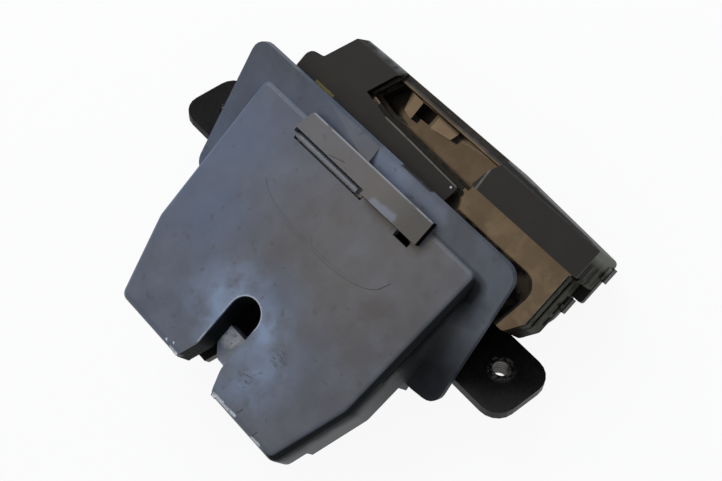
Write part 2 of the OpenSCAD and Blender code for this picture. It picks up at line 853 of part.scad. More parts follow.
// Plan of the housing's closed part, drawn in by d; the rear cover's right end is rounder
module case_shape(d, right = 0, rear = false) {
    x1 = case_x1 - d - right;
    step_y = rear ? block_y0 - 5 : block_y0 - 0.6;
    end_h = rear ? 11 : 5.5;
    polygon(round_pts([
        [case_x0 + d, case_y0 + d],
        [x1 - 3.6, case_y0 + d],
        [x1, case_y0 + end_h + d],
        [x1, step_y + d],
        [x1 + case_step, step_y + d],
        [x1 + case_step, case_y1 - case_fall - d],
        [crest_x, case_y1 + case_crest - d],
        [-31 + d, case_y1 - d],
        [-33.5 + d, case_y1 - 1.8 - d],
        [-38.5 + d, 33 - d],
        [case_x0 + d, 32 - d]], [1.5, rear ? 2.5 : 1.5, rear ? 8 : 2, 0, 1, 1.5, 4, 1.5, 1, 1, 3]));
}
crest_x = 29;
block_y0 = 34;

module stem_shape(d) {
    polygon(round_pts([[-stem_w + d, stem_y0 + d], [stem_w - d, stem_y0 + d],
        [stem_w - d, case_y0 + 6], [-stem_w + d, case_y0 + 6]], [3, 3, 0, 0]));
}

module block(pts, r) {
    translate([0, 0, case_z - case_wall])
        linear_extrude(block_h + case_wall)
            polygon(round_pts(pts, r));
}

// Left block of the housing's face
block_low_y = 23;
left_block = [[case_x0, block_low_y], [22.4, block_low_y], [23.5, 30.8], [-9, 32.2],
    [-18.8, 34.5], [-14.6, 43.6], [-14.4, case_y1], [-31, case_y1],
    [-33.5, case_y1 - 1.8], [-38.5, 33], [case_x0, 32]];
// Right block
right_block = [[25.4, block_y0], [case_x1 + case_step, block_y0],
    [case_x1 + case_step, case_y1 - case_fall], [crest_x, case_y1 + case_crest],
    [28.6, 43], [26.4, 39.4]];
// Half-space outside a bevel that falls outwards from height z
module outer_bevel(x0, x1, z) {
    translate([x0, case_y1 - case_bevel, z])
        rotate([-45, 0, 0])
            cube([x1 - x0, 12, 12]);
}

module case() {
    inner_z = case_z - case_wall;
    color([0.06, 0.06, 0.06])
    difference() {
        union() {
            translate([0, 0, seam_z])
                linear_extrude(case_z - seam_z)
                    case_shape(0);
            block(left_block, [1, 0, 1, 1, 1, 0.4, 0, 1, 1, 1, 3]);
            block(right_block, [1, 1, 1, 0, 0.4, 2]);
            translate([0, 0, seam_z])
                linear_extrude(plate_z - seam_z)
                    stem_shape(0);
            socket_body();
            // snap lugs of the right end
            for (y = lug_ys)
                translate([case_x1 - 0.5 + (y > block_y0 ? case_step : 0), y, seam_z])
                    cube([1, 4, 3]);
        }
        // inside of the housing
        translate([0, 0, seam_z - cut])
            linear_extrude(inner_z - seam_z + cut)
                case_shape(case_wall);
        translate([0, 0, seam_z - cut])
            linear_extrude(plate_z - seam_z + 3 * cut)
                intersection() {
                    stem_shape(case_wall);
                    translate([-60, -60])
                        square([120, 60 + case_y0 + case_wall + cut]);
                }
        // window for the pawl's arm and the slider's fork
        translate([pawl_x - 6.5, case_y0 - 4, pawl_z - 1])
            cube([16, release_y - case_y0 + 8, 20]);
        // opening of the recess above the left block
        translate([0, 0, recess_z - case_wall - cut])
            linear_extrude(20)
                polygon(recess_pts(shelf_w + 0.8));
        // bevels of the upper side
        outer_bevel(case_x0, -14.2, block_z);
        outer_bevel(-14.6, crest_x - 0.4, case_z);
        outer_bevel(crest_x - 0.6, case_x1 + case_step + cut, block_z);
        // grooves and pockets in the right end
        translate([case_x1 - 0.8, case_y0 + 6, case_z - 1.8])
            cube([3, block_y0 - case_y0 - 8, 0.9]);
        translate([case_x1 - 1, case_y0 + 6, case_z - 6])
            cube([3, block_y0 - case_y0 - 8, 1.3]);
        for (i = [0:2])
            translate([case_x1 - 0.9, case_y0 + 8 + 4 * i, seam_z + 1.6])
                cube([3, 2.8, 1.6]);
        socket_inside();
        for (p = case_seats)
            translate([p[0], p[1], plate_top_z - screw_l])
                cylinder(d = screw_d, h = screw_l);
    }
    // tub of the recess with its shelf, well and pads
    color([0.06, 0.06, 0.06])
    difference() {
        union() {
            translate([0, 0, recess_z - case_wall])
                linear_extrude(case_z - recess_z + case_wall)
                    polygon(recess_pts(shelf_w + 1.4));
            translate([0, 0, well_z - 1.2])
                linear_extrude(recess_z - well_z)
                    polygon(well_pts(0.9));
        }
        translate([0, 0, recess_z])
            linear_extrude(20)
                polygon(recess_pts(0));
        translate([0, 0, shelf_z])
            linear_extrude(20)
                polygon(recess_pts(shelf_w));
        translate([0, 0, well_z])
            linear_extrude(20)
                polygon(well_pts(0));
        outer_bevel(-14.6, crest_x - 0.4, case_z);
    }
    color([0.06, 0.06, 0.06])
    for (pad = recess_pads)
        translate([0, 0, recess_z - 0.2])
            linear_extrude(pad_h + 0.2)
                polygon(round_pts(pad, 0.4));
    // bearing of the wheel's axle
    color([0.06, 0.06, 0.06])
    difference() {
        translate([wheel_x, wheel_y, case_z - case_wall - 6])
            cylinder(r = 4, h = 6.5);
        translate([wheel_x, wheel_y, case_z - case_wall - 6 - cut])
            cylinder(r = axle_r, h = 5.3);
    }
    // screw bosses of the stem
    color([0.06, 0.06, 0.06])
    for (p = case_seats)
        difference() {
            translate([p[0], p[1], seam_z])
                cylinder(r = seat_r, h = plate_z - seam_z);
            translate([p[0], p[1], seam_z - cut])
                cylinder(d = screw_d, h = 10);
        }
}
recess_z = 18.6;
shelf_z = 23;
shelf_w = 1.1;
well_z = 16.4;
pad_h = 2.6;
recess_y1 = case_y1 - 2.9;
// Plan of the glossy recess, grown by d
function recess_pts(d) = [[-17.5 - d, 35.6 - d], [-8.6 - d * 0.4, 34 - d],
    [24.6 + d * 0.4, 33.1 - d], [26 + d * 0.4, 39.6], [27.4 + d * 0.2, recess_y1 + d * 0.35],
    [-14 - d * 0.6, recess_y1 + d * 0.35]];
// Plan of the deep well between the pads, grown by d
function well_pts(d) = [[-6.2 - d, 37.9 - d], [-1.6 + d, 38.2 - d],
    [-1.5 + d, recess_y1 - 0.3 + d * 0.3], [-6.5 - d, recess_y1 - 0.3 + d * 0.3]];
recess_pads = [
    [[-9.8, 36.9], [-6.2, 36], [-6.4, 42.2], [-11.6, 42.5]],
    [[0.6, 37.9], [8.2, 39.2], [9.2, 42.5], [0.8, 42.3]]];
lug_ys = [24, 38];

socket_y0 = 11.4;
socket_w = 11;
socket_z0 = 12;
socket_h = 11;
module socket_body() {
    translate([case_x0 - socket_l, socket_y0, socket_z0])
        rotate([90, 0, 90])
            linear_extrude(socket_l + 1)
                polygon(round_pts([[0, 0], [socket_w, 0], [socket_w, socket_h],
                    [0, socket_h]], 1.6));
}
module socket_inside() {
    translate([case_x0 - socket_l - cut, socket_y0 + 1.3, socket_z0 + 1.3])
        cube([socket_l + cut - 1.5, socket_w - 2.6, socket_h - 2.6]);
    for (i = [0:blade_n - 1])
        translate([case_x0 - 3, blade_y(i) - blade_t / 2, blade_z - blade_t / 2])
            cube([10, blade_t, blade_t]);
}
function blade_y(i) = socket_y0 + socket_w / 2 + (i - (blade_n - 1) / 2) * blade_pitch;
blade_z = socket_z0 + socket_h / 2;

module terminals() {
    color([0.80, 0.70, 0.45])
    for (i = [0:blade_n - 1])
        translate([case_x0 - socket_l + 4, blade_y(i) - blade_t / 2, blade_z - blade_t / 2])
            cube([socket_l + 3, blade_t, blade_t]);
}

module rear_cover() {
    color([0.07, 0.07, 0.07])
    difference() {
        union() {
            translate([0, 0, pan_top_z])
                linear_extrude(rim_t)
                    union() {
                        case_shape(0, 0, true);
                        stem_shape(0);
                    }
            linear_extrude(pan_top_z + 0.5)
                union() {
                    case_shape(pan_gap, pan_inset, true);
                    stem_shape(pan_gap);
                }
            // snap lugs under the rim
            for (y = lug_ys)
                translate([case_x1 - 3 + (y > block_y0 ? case_step : 0), y - 0.5, pan_top_z - 2])
                    cube([3.5, 5, 3]);
        }
        translate([0, 0, rear_floor])
            linear_extrude(seam_z)
                union() {
                    case_shape(pan_gap + case_wall, pan_inset, true);
                    stem_shape(pan_gap + case_wall);
                }
    }
    color([0.07, 0.07, 0.07]) {
        // seats of the pawl pin, the wheel axle, the motor and the switch
        difference() {
            translate([pawl_x, pawl_y, rear_floor - 0.2])
                cylinder(r = pawl_pin_r + 1.6, h = lever_z - rear_floor - 0.2);
            translate([pawl_x, pawl_y, rear_floor + 0.5])
                cylinder(r = pawl_pin_r, h = 10);
        }
        difference() {
            translate([wheel_x, wheel_y, rear_floor - 0.2])
                cylinder(r = 4, h = lever_z - rear_floor - 0.2);
            translate([wheel_x, wheel_y, rear_floor + 0.3])
                cylinder(r = axle_r, h = 10);
        }
        for (x = [motor_x + 3, motor_x + motor_l - 5])
            difference() {
                translate([x, worm_y - motor_r + 1.5, rear_floor - 0.2])
                    cube([3, 2 * motor_r - 3, drive_z - rear_floor - 3]);
                translate([x - cut, worm_y, drive_z])
                    rotate([0, 90, 0])
                        cylinder(r = motor_r, h = 5);
            }
        translate([switch_x, switch_y, rear_floor - 0.2])
            cube([switch_w, switch_d, switch_z - rear_floor + 0.2]);
    }
}
axle_r = 2;

module motor() {
    color([0.70, 0.71, 0.72])
    translate([motor_x, worm_y, drive_z])
        rotate([0, 90, 0])
            difference() {
                union() {
                    cylinder(r = motor_r, h = motor_l - 3);
                    translate([0, 0, -1.6])
                        cylinder(r = 3, h = 2);
                }
                translate([0, 0, -3])
                    cylinder(r = shaft_r + pivot_gap, h = motor_l + 6);
            }
}
shaft_r = 1;

module motor_cap() {
    color([0.15, 0.15, 0.16])
    translate([motor_x + motor_l - 3, worm_y, drive_z])
        rotate([0, 90, 0])
            difference() {
                cylinder(r = motor_r - 0.3, h = 3);
                translate([0, 0, -cut])
                    cylinder(r = shaft_r + pivot_gap, h = 2.4);
            }
}

module motor_shaft() {
    color([0.75, 0.75, 0.76])
    translate([wheel_x - worm_l / 2 - 3, worm_y, drive_z])
        rotate([0, 90, 0])
            cylinder(r = shaft_r, h = motor_x - wheel_x + worm_l / 2 + 3 + motor_l - 2);
}

// Section of a single-start thread: the radius follows the axial profile once round
function thread_r(a) =
    let (u = abs((a > 180 ? a - 360 : a) / 360) * worm_pitch, t = 0.34, s = 0.34)
    u < t ? worm_r : u > t + s ? worm_root_r : worm_r - tooth_h * (u - t) / s;
module worm() {
    steps = 20;
    turns = worm_l / worm_pitch;
    color([0.86, 0.84, 0.78])
    translate([wheel_x - worm_l / 2, worm_y, drive_z])
        rotate([0, 90, 0])
            difference() {
                rotate([0, 0, worm_phase])
                    linear_extrude(worm_l, twist = -360 * turns, slices = ceil(turns * 12),
                        $fn = steps)
                        polygon([for (i = [0:steps - 1]) let (a = i * 360 / steps)
                            thread_r(a) * [cos(a), sin(a)]]);
                translate([0, 0, -cut])
                    cylinder(r = shaft_r, h = worm_l + 2 * cut);
            }
}
// Turn of the thread that puts a gap opposite the wheel's middle tooth
worm_phase = 270 - 360 * (worm_l / 2 + worm_pitch / 2) / worm_pitch;

// Plan of the wheel with its tapered teeth, one of them pointing along X
module toothed_disc(rr) {
    step = 360 / wheel_teeth;
    root = asin(0.58 / rr);
    tip = asin(0.28 / wheel_r);
    polygon([for (i = [0:wheel_teeth - 1]) let (a = i * step) each [
        rr * [cos(a - root), sin(a - root)],
        wheel_r * [cos(a - tip), sin(a - tip)],
        wheel_r * [cos(a + tip), sin(a + tip)],
        rr * [cos(a + root), sin(a + root)]]]);
}

// Worm wheel with slanted teeth, hub and cam
module worm_wheel() {
    rr = wheel_r - tooth_h;
    slant = atan(worm_pitch / (2 * PI * (worm_root_r + tooth_h / 2)));
    turn = tan(slant) * wheel_t / wheel_r * 180 / PI;
    color([0.88, 0.86, 0.80])
    translate([wheel_x, wheel_y, 0])
        difference() {
            union() {
                translate([0, 0, drive_z - wheel_t / 2])
                    rotate([0, 0, -turn / 2])
                        linear_extrude(wheel_t, twist = -turn, slices = 2, $fn = 4)
                            toothed_disc(rr);
                translate([0, 0, lever_z])
                    cylinder(r = 4, h = drive_z - lever_z + wheel_t / 2 + 1);
                // cam, parked just short of the lever's finger
                translate([0, 0, lever_z])
                    rotate([0, 0, -cam_park])
                        linear_extrude(cam_t)
                            polygon(round_pts([[-3.4, 2], [3.4, 2], [1.9, 0.05 - cam_r],
                                [-1.9, 0.05 - cam_r]], [0, 0, 1.2, 1.2]));
                translate([0, 0, lever_z + cam_t + free])
                    cylinder(r = 6, h = drive_z - wheel_t / 2 - lever_z - cam_t);
            }
            translate([0, 0, -cut])
                cylinder(r = axle_r + pivot_gap, h = 40);
        }
}

module wheel_axle() {
    color([0.72, 0.72, 0.73])
    translate([wheel_x, wheel_y, rear_floor + 0.3])
        cylinder(r = axle_r, h = case_z - case_wall - 3 - rear_floor);
}

switch_w = 12.8;
switch_d = 5.8;
switch_h = 7;
plunger_r = 1;
plunger_l = 5;
plunger_z = lever_z + cam_t / 2;
// The plunger stands just below the lever's eye in the pawl's locked position
plunger_x = pawl_x + dowel_reach;
plunger_tip_y = pawl_y - dowel_reach * sin(pawl_swing) - dowel_r - 2.2 - 0.4;
switch_x = plunger_x - switch_w / 2;
switch_y = plunger_tip_y - 2 - switch_d;
switch_z = rear_floor + 1;
module microswitch() {
    color([0.10, 0.10, 0.10])
    difference() {
        translate([switch_x, switch_y, switch_z])
            cube([switch_w, switch_d, switch_h]);
        translate([plunger_x, switch_y + switch_d + cut, plunger_z])
            rotate([90, 0, 0])
                cylinder(r = plunger_r + 0.15, h = plunger_l, $fn = 32);
        for (x = [3.2, switch_w - 3.2])
            translate([switch_x + x, switch_y + 1.8, switch_z + 2.5])
                cylinder(r = 0.9, h = switch_h, $fn = 24);
    }
}

module switch_plunger() {
    color([0.75, 0.20, 0.14])
    translate([plunger_x, plunger_tip_y, plunger_z])
        rotate([90, 0, 0])
            cylinder(r = plunger_r, h = plunger_l, $fn = 32);
}

// Self-tapping screw, head down at the origin, shank along +Z
module screw() {
    difference() {
        union() {
            translate([0, 0, -screw_head_h])
                cylinder(d1 = screw_head_d - 0.8, d2 = screw_head_d, h = screw_head_h);
            translate([0, 0, -0.1])
                cylinder(d = screw_d, h = screw_l - 1);
            translate([0, 0, screw_l - 1.2])
                cylinder(d1 = screw_d, d2 = 1.2, h = 1.2);
        }
        // six-lobed recess
        for (a = [0:60:300])
            rotate(a)
                translate([0.85, 0, -screw_head_h - cut])
                    cylinder(r = 0.45, h = cut + 1.2, $fn = 16);
        translate([0, 0, -screw_head_h - cut])
            cylinder(r = 0.9, h = cut + 1.2, $fn = 24);
    }
}

module screws() {
    color([0.60, 0.60, 0.62]) {
        for (p = cover_seats)
            translate([p[0], p[1], plate_z])
                screw();
        for (p = case_seats)
            translate([p[0], p[1], plate_top_z])
                mirror([0, 0, 1])
                    screw();
    }
}

front_cover();
release_slider();
frame_plate();
claw();
claw_band();
claw_pin();
claw_spring();
pawl();
pawl_pin();
pawl_spring();
drive_dowel();
release_lever();
buffer();
case();
rear_cover();
motor();
motor_cap();
motor_shaft();
worm();
worm_wheel();
wheel_axle();
microswitch();
switch_plunger();
terminals();
screws();
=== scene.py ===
import math

import bmesh
import bpy
from bpy.props import FloatProperty, FloatVectorProperty, IntProperty, PointerProperty
from mathutils import Matrix, Vector


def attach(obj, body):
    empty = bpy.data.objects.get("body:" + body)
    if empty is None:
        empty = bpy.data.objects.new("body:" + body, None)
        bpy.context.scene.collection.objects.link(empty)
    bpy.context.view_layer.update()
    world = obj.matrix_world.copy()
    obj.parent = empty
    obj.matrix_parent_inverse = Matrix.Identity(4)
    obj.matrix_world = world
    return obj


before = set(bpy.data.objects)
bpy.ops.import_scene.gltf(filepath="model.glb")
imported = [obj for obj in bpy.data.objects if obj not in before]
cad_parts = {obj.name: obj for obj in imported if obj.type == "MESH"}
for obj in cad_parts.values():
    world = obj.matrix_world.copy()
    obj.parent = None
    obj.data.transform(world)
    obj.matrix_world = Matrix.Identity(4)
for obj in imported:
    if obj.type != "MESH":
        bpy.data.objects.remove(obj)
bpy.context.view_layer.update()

bl_info = {
    "name": "Boot Lid Lock Looks",
    "version": (1, 0, 0),
    "blender": (4, 5, 0),
    "location": "3D View > Sidebar > Lock",
    "description": "Dresses the boot lid lock's solids and sets a plain stage around them",
    "category": "Object",
}

MM = 0.001
# The fitted camera: the frame's width in pixels, the sensor's width in mm, its place in mm, its
# right, down and forward directions and its focal length in pixels
PHOTO_W = 722
SENSOR_W = 36.0
CAMERA_AT = (193.66, 50.51, 403.66)
CAMERA_RIGHT = (0.645180, 0.651000, -0.399926)
CAMERA_DOWN = (0.628627, -0.749814, -0.206416)
CAMERA_FORWARD = (-0.434247, -0.118229, -0.893001)
FOCAL_PX = 1457.39

# Places on the lock, in mm
SLOT_AXIS = (0.0, -38.8, 0.0)
SLOT_R = 5.8
SLOT_RIM_R = SLOT_R + 0.1
CLAW_WORN = (-3.6, -48.6, 21.9)
STRIP_Y = (11.0, 19.5)
STRIP_TOP_Z = 34.6
COLLAR_Z = 33.6
BLOCK_TOP_Z = 28.3
EAR_X = 62.5
EAR_HOLE_Z = 10.418
EAR_TILT = 35.0
# The tongue behind the claw: its sides, its lower and upper ends, its front face, its thickness
# and the radius of its corners; its ribs' left sides, ends, width, height, foot and corners
GUARD_X0, GUARD_X1 = -16.0, 9.0
GUARD_Y0, GUARD_Y1 = -51.0, -28.0
GUARD_Z = 10.9
GUARD_T = 1.8
GUARD_R = 3.0
RIBS_X = (-9.0, -1.0)
RIB_Y0, RIB_Y1 = GUARD_Y0 + 2.5, GUARD_Y1 - 1.0
RIB_W = 1.4
RIB_H = 0.8
RIB_SUNK = 0.5
RIB_R = 0.5
# The ears' threads: the steps round a turn and round its crest, the crest's radius, how far the
# first turn lies behind the ear's middle and how far the turns stand out of the bore's wall
TURN_STEPS = 40
CREST_STEPS = 6
CREST_R = 0.24
THREAD_BACK = 5.4
CREST_OUT = 0.06

# Marks on the cover, in mm. A spot has a centre, an inner and an outer radius; a stroke has two
# ends and a width. A further number makes a mark fainter. A Z of 0 means seen from the front.
COVER_WARM = ((14, -2, 0), 6, 50)
# Where the painted bluish light on the cover's left side fades out
COVER_COOL_LIGHT_X = (20, -46)
# Painted shade on the collar's top-left and lower-right corners and at the far left
COVER_PAINTED_SHADES = (((-52, 24, 0), 12, 34), ((60, -22, 0), 10, 44), ((-42, -54, 0), 3, 20, 0.35))
COVER_BLUES = (((-42, 0, 0), 5, 24), ((-30, -24, 0), 3, 18), ((4, -30, 0), 3, 14),
               ((24, -37, 0), 3, 16, 0.5))
COVER_POLISH = (((-6, -40, 0), 4, 17), ((9, -37, 0), 2, 10), ((14, -48, 0), 2, 17, 0.8))
COVER_SMUDGES = (((-4, -29, 0), 1, 8), ((-11, -50, 0), 1, 7), ((11, -33, 0), 0, 5),
                 ((22, -52, 0), 1, 8))
# Painted shade in the collar's low corners below the side wall
COVER_HOLLOW_SHADES = (((52, -15, 0), 4, 21), ((47, 9, 0), 3, 10, 0.85))
# The face's right edge and its upper right edge are painted dark as shade
FACE_EDGE_SHADE = (((47.6, 13.5, 0), (45.3, -36.3, 0), 5.0), ((45.3, -36.3, 0), (37.3, -62.6, 0), 5.0))
FACE_CREST_SHADE = (((27.5, 18.6, 0), (46.5, 18.4, 0), 2.4),)
SKIRT_FLANK = (((48.6, 2, 0), (46.0, -36.3, 0), 3.6), ((46.0, -36.3, 0), (38, -63, 0), 3.6))
COLLAR_SHEEN = (((2, 22, COLLAR_Z), (12, 22, COLLAR_Z), 5.0),
                ((12, 22, COLLAR_Z), (27, 22, COLLAR_Z), 4.0, 0.5))
# A painted shadow in the gap between the collar and the housing's block
COLLAR_GAP_SHADOW = (((8.6, 25.6, 0), (20.3, 25.6, 0), 0.8),)
# A painted highlight along the strip's upper edge
STRIP_EDGE_HIGHLIGHT = (((-26, 19.2, STRIP_TOP_Z), (27.3, 19.2, STRIP_TOP_Z), 0.42),)
STRIP_SHEEN = (((9, 11.8, STRIP_TOP_Z), (17, 12.6, STRIP_TOP_Z), 2.2),)
SLOT_EDGE = (((-SLOT_RIM_R, -38.8, 0), (-SLOT_RIM_R, -54.5, 0), 0.45),)
MOUTH_SCRAPES = (((9.4, -61.6, 0), (13.4, -61.2, 0), 0.9),
                 ((13.2, -61.5, 0), (19.0, -61.0, 0), 0.7),
                 ((-11.9, -61.8, 0), (-8.9, -61.8, 0), 0.7),
                 ((27.3, -61.8, 0), (30.8, -61.4, 0), 0.6))
MOUTH_NICKS = (((-14.5, -61.0, 0), 0.2, 0.6), ((-11.8, -60.0, 0), 0.1, 0.5))
CURLED_SCRATCHES = (((19.1, -60.6, 0), (19.8, -58.2, 0), 0.35),
                    ((27.3, -61.7, 0), (28.0, -59.4, 0), 0.35),
                    ((-11.5, 13.0, 0), (-6.2, 14.5, 0), 0.3))
SCRATCHED_FIELDS = (((14.2, -51, 0), 1, 4.6), ((18.2, -39.3, 0), 1, 4.6))
SLOT_STAIN = (((6.4, -34.2, 0), 0.5, 2.6),)
# Marks on the housing
# Painted highlights along the blocks' edges and the recess floor's outer edge
BLOCK_EDGE_HIGHLIGHTS = (((-8.8, 32.1, BLOCK_TOP_Z), (22.8, 30.9, BLOCK_TOP_Z), 0.6),
               ((27.6, 34.2, BLOCK_TOP_Z), (27.0, 42.6, BLOCK_TOP_Z), 0.5),
               ((9.5, 41.0, 18.6), (22.6, 43.0, 18.6), 0.5, 0.8))
# A painted highlight along the case's outer top edge
CASE_OUTER_HIGHLIGHT = (((-44, 45.5, 0), (29, 46.1, 0), 0.7), ((29, 46.1, 0), (66, 44.7, 0), 0.7))
# The recess wedge and the spot beside the stem mark painted shade
RECESS_WEDGE = (((-3, 44.0, 0), (10, 43.6, 0), 2.4),)
# A painted warm reflection on a small hook by the collar
BLOCK_HOOK_REFLECTION = (((-34.7, 26.0, 28.5), (-27.3, 26.0, 28.5), 0.6),)
BLOCK_DOT = ((21.6, 29.6, 28.5), 0.2, 0.45)
BESIDE_STEM = ((22.5, 26.0, 0), 3.2, 4.2)
# A painted highlight on the case's rounded end
CASE_ROUND_END_HIGHLIGHT = ((67.6, 43.6, 0), 1.5, 4.2)
REAR_CORNER = ((66.4, 42.6, 9.0), 1.5, 6.5)

# Limits of marks, in mm: a mask goes from 0 at the first place of an axis to 1 at the second
FRONT_Z = (27.5, 29.5)
BELOW_FACE_Z = (31.95, 31.6)
FACE_EDGE_Z = (24.5, 28.5)
HOLLOW_SHADE_Z = (30.8, 29.5)
RIM_Z = (31.3, 31.8)
RIM_Y = (-42, -38.5)
STRIP_Z = (34.0, 34.2)
STRIP_DARK_X = (9, 22)
COLLAR_LIMITS = {"X": (-0.7, -0.4), "Y": (19.3, 19.6)}
# The slot's sides are painted dark as shade
SLOT_WALL_SHADE = {"Z": (31.7, 31.0), "X": (9.8, 9.4), "Y": (-32.2, -32.8)}
SLOT_LIP_Y = (-54, -59)
BLOCK_TOP = (BLOCK_TOP_Z - 0.2, BLOCK_TOP_Z)
CASE_BEVEL_Z = (24.6, 25.6)
CASE_UPPER_Y = (43.4, 44.4)
# The outer bevel's rubbed band, partly a painted highlight
CASE_RUB_AND_HIGHLIGHT_Y = (43.9, 45.2)
# The case's end and foot, the well, the band beside the stem and the bowl bound painted shade
CASE_END_X = (62.9, 63.1)
CASE_END_TIP_X = (64.6, 64.8)
CASE_END_LOW_Z = (25.42, 25.3)
CASE_END_Z = (28.2, 28.1)
CASE_ROUND_END_Z = (28.2, 27.8)
CASE_FOOT = {"X": (57.5, 58.5), "Y": (16.5, 16.0), "Z": (25.3, 25.1)}
PADS_Y = (34, 35)
FLOOR_Z = (20.4, 20.2)
STEPS_TOP_Z = (24.5, 24.0)
STEPS_LOW_Z = (22.9, 23.0)
WELL = {"Z": (18.4, 18.2), "Y": (31, 32)}
BESIDE_STEM_Y = (30.5, 30.0)
BOWL_X = (-9.5, -12.5)
BOWL = {"Z": (25.4, 25.0), "Y": (33, 34)}
REAR_EDGE = {"Y": (44.9, 45.2), "Z": (2.2, 0.6)}
EAR_SHADE_X = (-52, -58)

# Boxes and bands that marks fill, in mm: the low and the high end along an axis, and how soft the
# ends are where that isn't 0.1
FLANK_Z = (8.0, 27.0, 1.5)
# The strip's open end and its pocket are painted dark as shade
STRIP_END_SHADE = {"X": (27.5, 27.8), "Y": STRIP_Y, "Z": (32.4, 34.4)}
STRIP_POCKET_SHADE = {"X": (22.5, 27.65), "Y": (11.7, 18.9), "Z": (32.05, 33.9, 0.03)}
# Height band of the painted yellow-brown reflection in the recess
TAN_REFLECTION_Z = (18.0, 25.6)
STRIPES_Z = ((21.0, 23.6, 0.4), (13.0, 18.0, 0.8))
# The recess's ledge is painted dark as shade
LEDGE = {"Z": (24.6, 27.8), "Y": (30.6, 34.1), "X": (-15, 23.6)}
PADS_Z = (20.6, 21.9)
WEDGE_Z = (17.0, 24.9)
# The outer bevel's rubbed band, partly a painted highlight
CASE_RUB_AND_HIGHLIGHT_X = (-26, 0, 7.0)

# The lamps' places in metres: the large soft lamp, and the warm card with the point it looks at
KEY_AT = (-0.50, 0.44, 0.60)
KEY_SIZE = (0.5, 0.5)
CARD_AT = (-0.232, -0.042, 0.589)
CARD_AIM = (0.03, 0.02, 0.02)
CARD_SIZE = (0.30, 0.31)
FLOOR_WHITE = 0.92


def linear(code):
    """An sRGB hex colour as linear red, green and blue."""
    parts = [int(code[i:i + 2], 16) / 255 for i in (1, 3, 5)]
    return tuple(c / 12.92 if c <= 0.04045 else ((c + 0.055) / 1.055) ** 2.4 for c in parts)


def rgba(colour):
    """A hex colour or a colour property as the four numbers a socket takes."""
    return (*(linear(colour) if isinstance(colour, str) else tuple(colour)), 1.0)


def add(tree, kind, inputs=None, **settings):
    """Adds one node with its settings, and its inputs as values or links."""
    node = tree.nodes.new(kind)
    for name, value in settings.items():
        setattr(node, name, value)
    for key, value in (inputs or {}).items():
        if isinstance(value, bpy.types.NodeSocket):
            tree.links.new(value, node.inputs[key])
        else:
            node.inputs[key].default_value = value
    return node


def begin(name, **constants):
    """A material with its shader, and the Object coordinates in millimetres."""
    material = bpy.data.materials.new(name)
    material.use_nodes = True
    tree = material.node_tree
    tree.nodes.clear()
    shader = add(tree, "ShaderNodeBsdfPrincipled", constants)
    add(tree, "ShaderNodeOutputMaterial", {"Surface": shader.outputs[0]})
    where = add(tree, "ShaderNodeTexCoord")
    place = add(tree, "ShaderNodeVectorMath",
                {0: where.outputs["Object"], "Scale": 1 / MM}, operation="SCALE")
    return material, tree, shader, place.outputs[0]


def ragged(tree, place, size, reach):
    """The place shifted at random by up to reach mm, in patches of that size."""
    noise = add(tree, "ShaderNodeTexNoise", {"Vector": place, "Scale": 1 / size, "Detail": 3.0})
    centred = add(tree, "ShaderNodeVectorMath",
                  {0: noise.outputs["Color"], 1: (0.5, 0.5, 0.5)}, operation="SUBTRACT")
    shift = add(tree, "ShaderNodeVectorMath",
                {0: centred.outputs[0], "Scale": 2 * reach}, operation="SCALE")
    moved = add(tree, "ShaderNodeVectorMath", {0: place, 1: shift.outputs[0]})
    return moved.outputs[0]


def flat(tree, place):
    """The place seen from the front: its Z is dropped."""
    return add(tree, "ShaderNodeVectorMath",
               {0: place, 1: (1.0, 1.0, 0.0)}, operation="MULTIPLY").outputs[0]


def spot(tree, place, centre, inner, outer):
    """1 within inner mm of the centre, falling to 0 at outer mm."""
    away = add(tree, "ShaderNodeVectorMath", {0: place, 1: centre}, operation="DISTANCE")
    fall = add(tree, "ShaderNodeMapRange",
               {"Value": away.outputs["Value"], "From Min": outer, "From Max": inner})
    return fall.outputs[0]


def stroke(tree, place, start, end, width):
    """1 on the line from start to end, falling to 0 at width mm from it."""
    line = Vector(end) - Vector(start)
    rel = add(tree, "ShaderNodeVectorMath", {0: place, 1: start}, operation="SUBTRACT")
    share = add(tree, "ShaderNodeVectorMath",
                {0: rel.outputs[0], 1: line / line.length_squared}, operation="DOT_PRODUCT")
    held = add(tree, "ShaderNodeMapRange", {"Value": share.outputs["Value"]})
    foot = add(tree, "ShaderNodeVectorMath",
               {0: line, "Scale": held.outputs[0]}, operation="SCALE")
    away = add(tree, "ShaderNodeVectorMath",
               {0: rel.outputs[0], 1: foot.outputs[0]}, operation="DISTANCE")
    fall = add(tree, "ShaderNodeMapRange",
               {"Value": away.outputs["Value"], "From Min": width, "From Max": width * 0.35})
    return fall.outputs[0]


def spots(tree, place, rows):
    """The strongest of several spots, each a row of numbers as in the marks above."""
    return either(tree, *(both(tree, spot(tree, place, *row[:3]), *row[3:]) for row in rows))


def strokes(tree, place, rows):
    """The strongest of several strokes, each a row of numbers as in the marks above."""
    return either(tree, *(both(tree, stroke(tree, place, *row[:3]), *row[3:]) for row in rows))


def both(tree, *masks):
    """The product of masks or factors."""
    result = masks[0]
    for mask in masks[1:]:
        result = add(tree, "ShaderNodeMath", {0: result, 1: mask}, operation="MULTIPLY").outputs[0]
    return result


def either(tree, *masks):
    """The largest of several masks."""
    result = masks[0]
    for mask in masks[1:]:
        result = add(tree, "ShaderNodeMath", {0: result, 1: mask}, operation="MAXIMUM").outputs[0]
    return result


def patches(tree, place, size, low, high, detail=3.0):
    """Noise in patches of that size, 0 below low and 1 above high."""
    noise = add(tree, "ShaderNodeTexNoise",
                {"Vector": place, "Scale": 1 / size, "Detail": detail})
    cut = add(tree, "ShaderNodeMapRange",
              {"Value": noise.outputs[0], "From Min": low, "From Max": high})
    return cut.outputs[0]


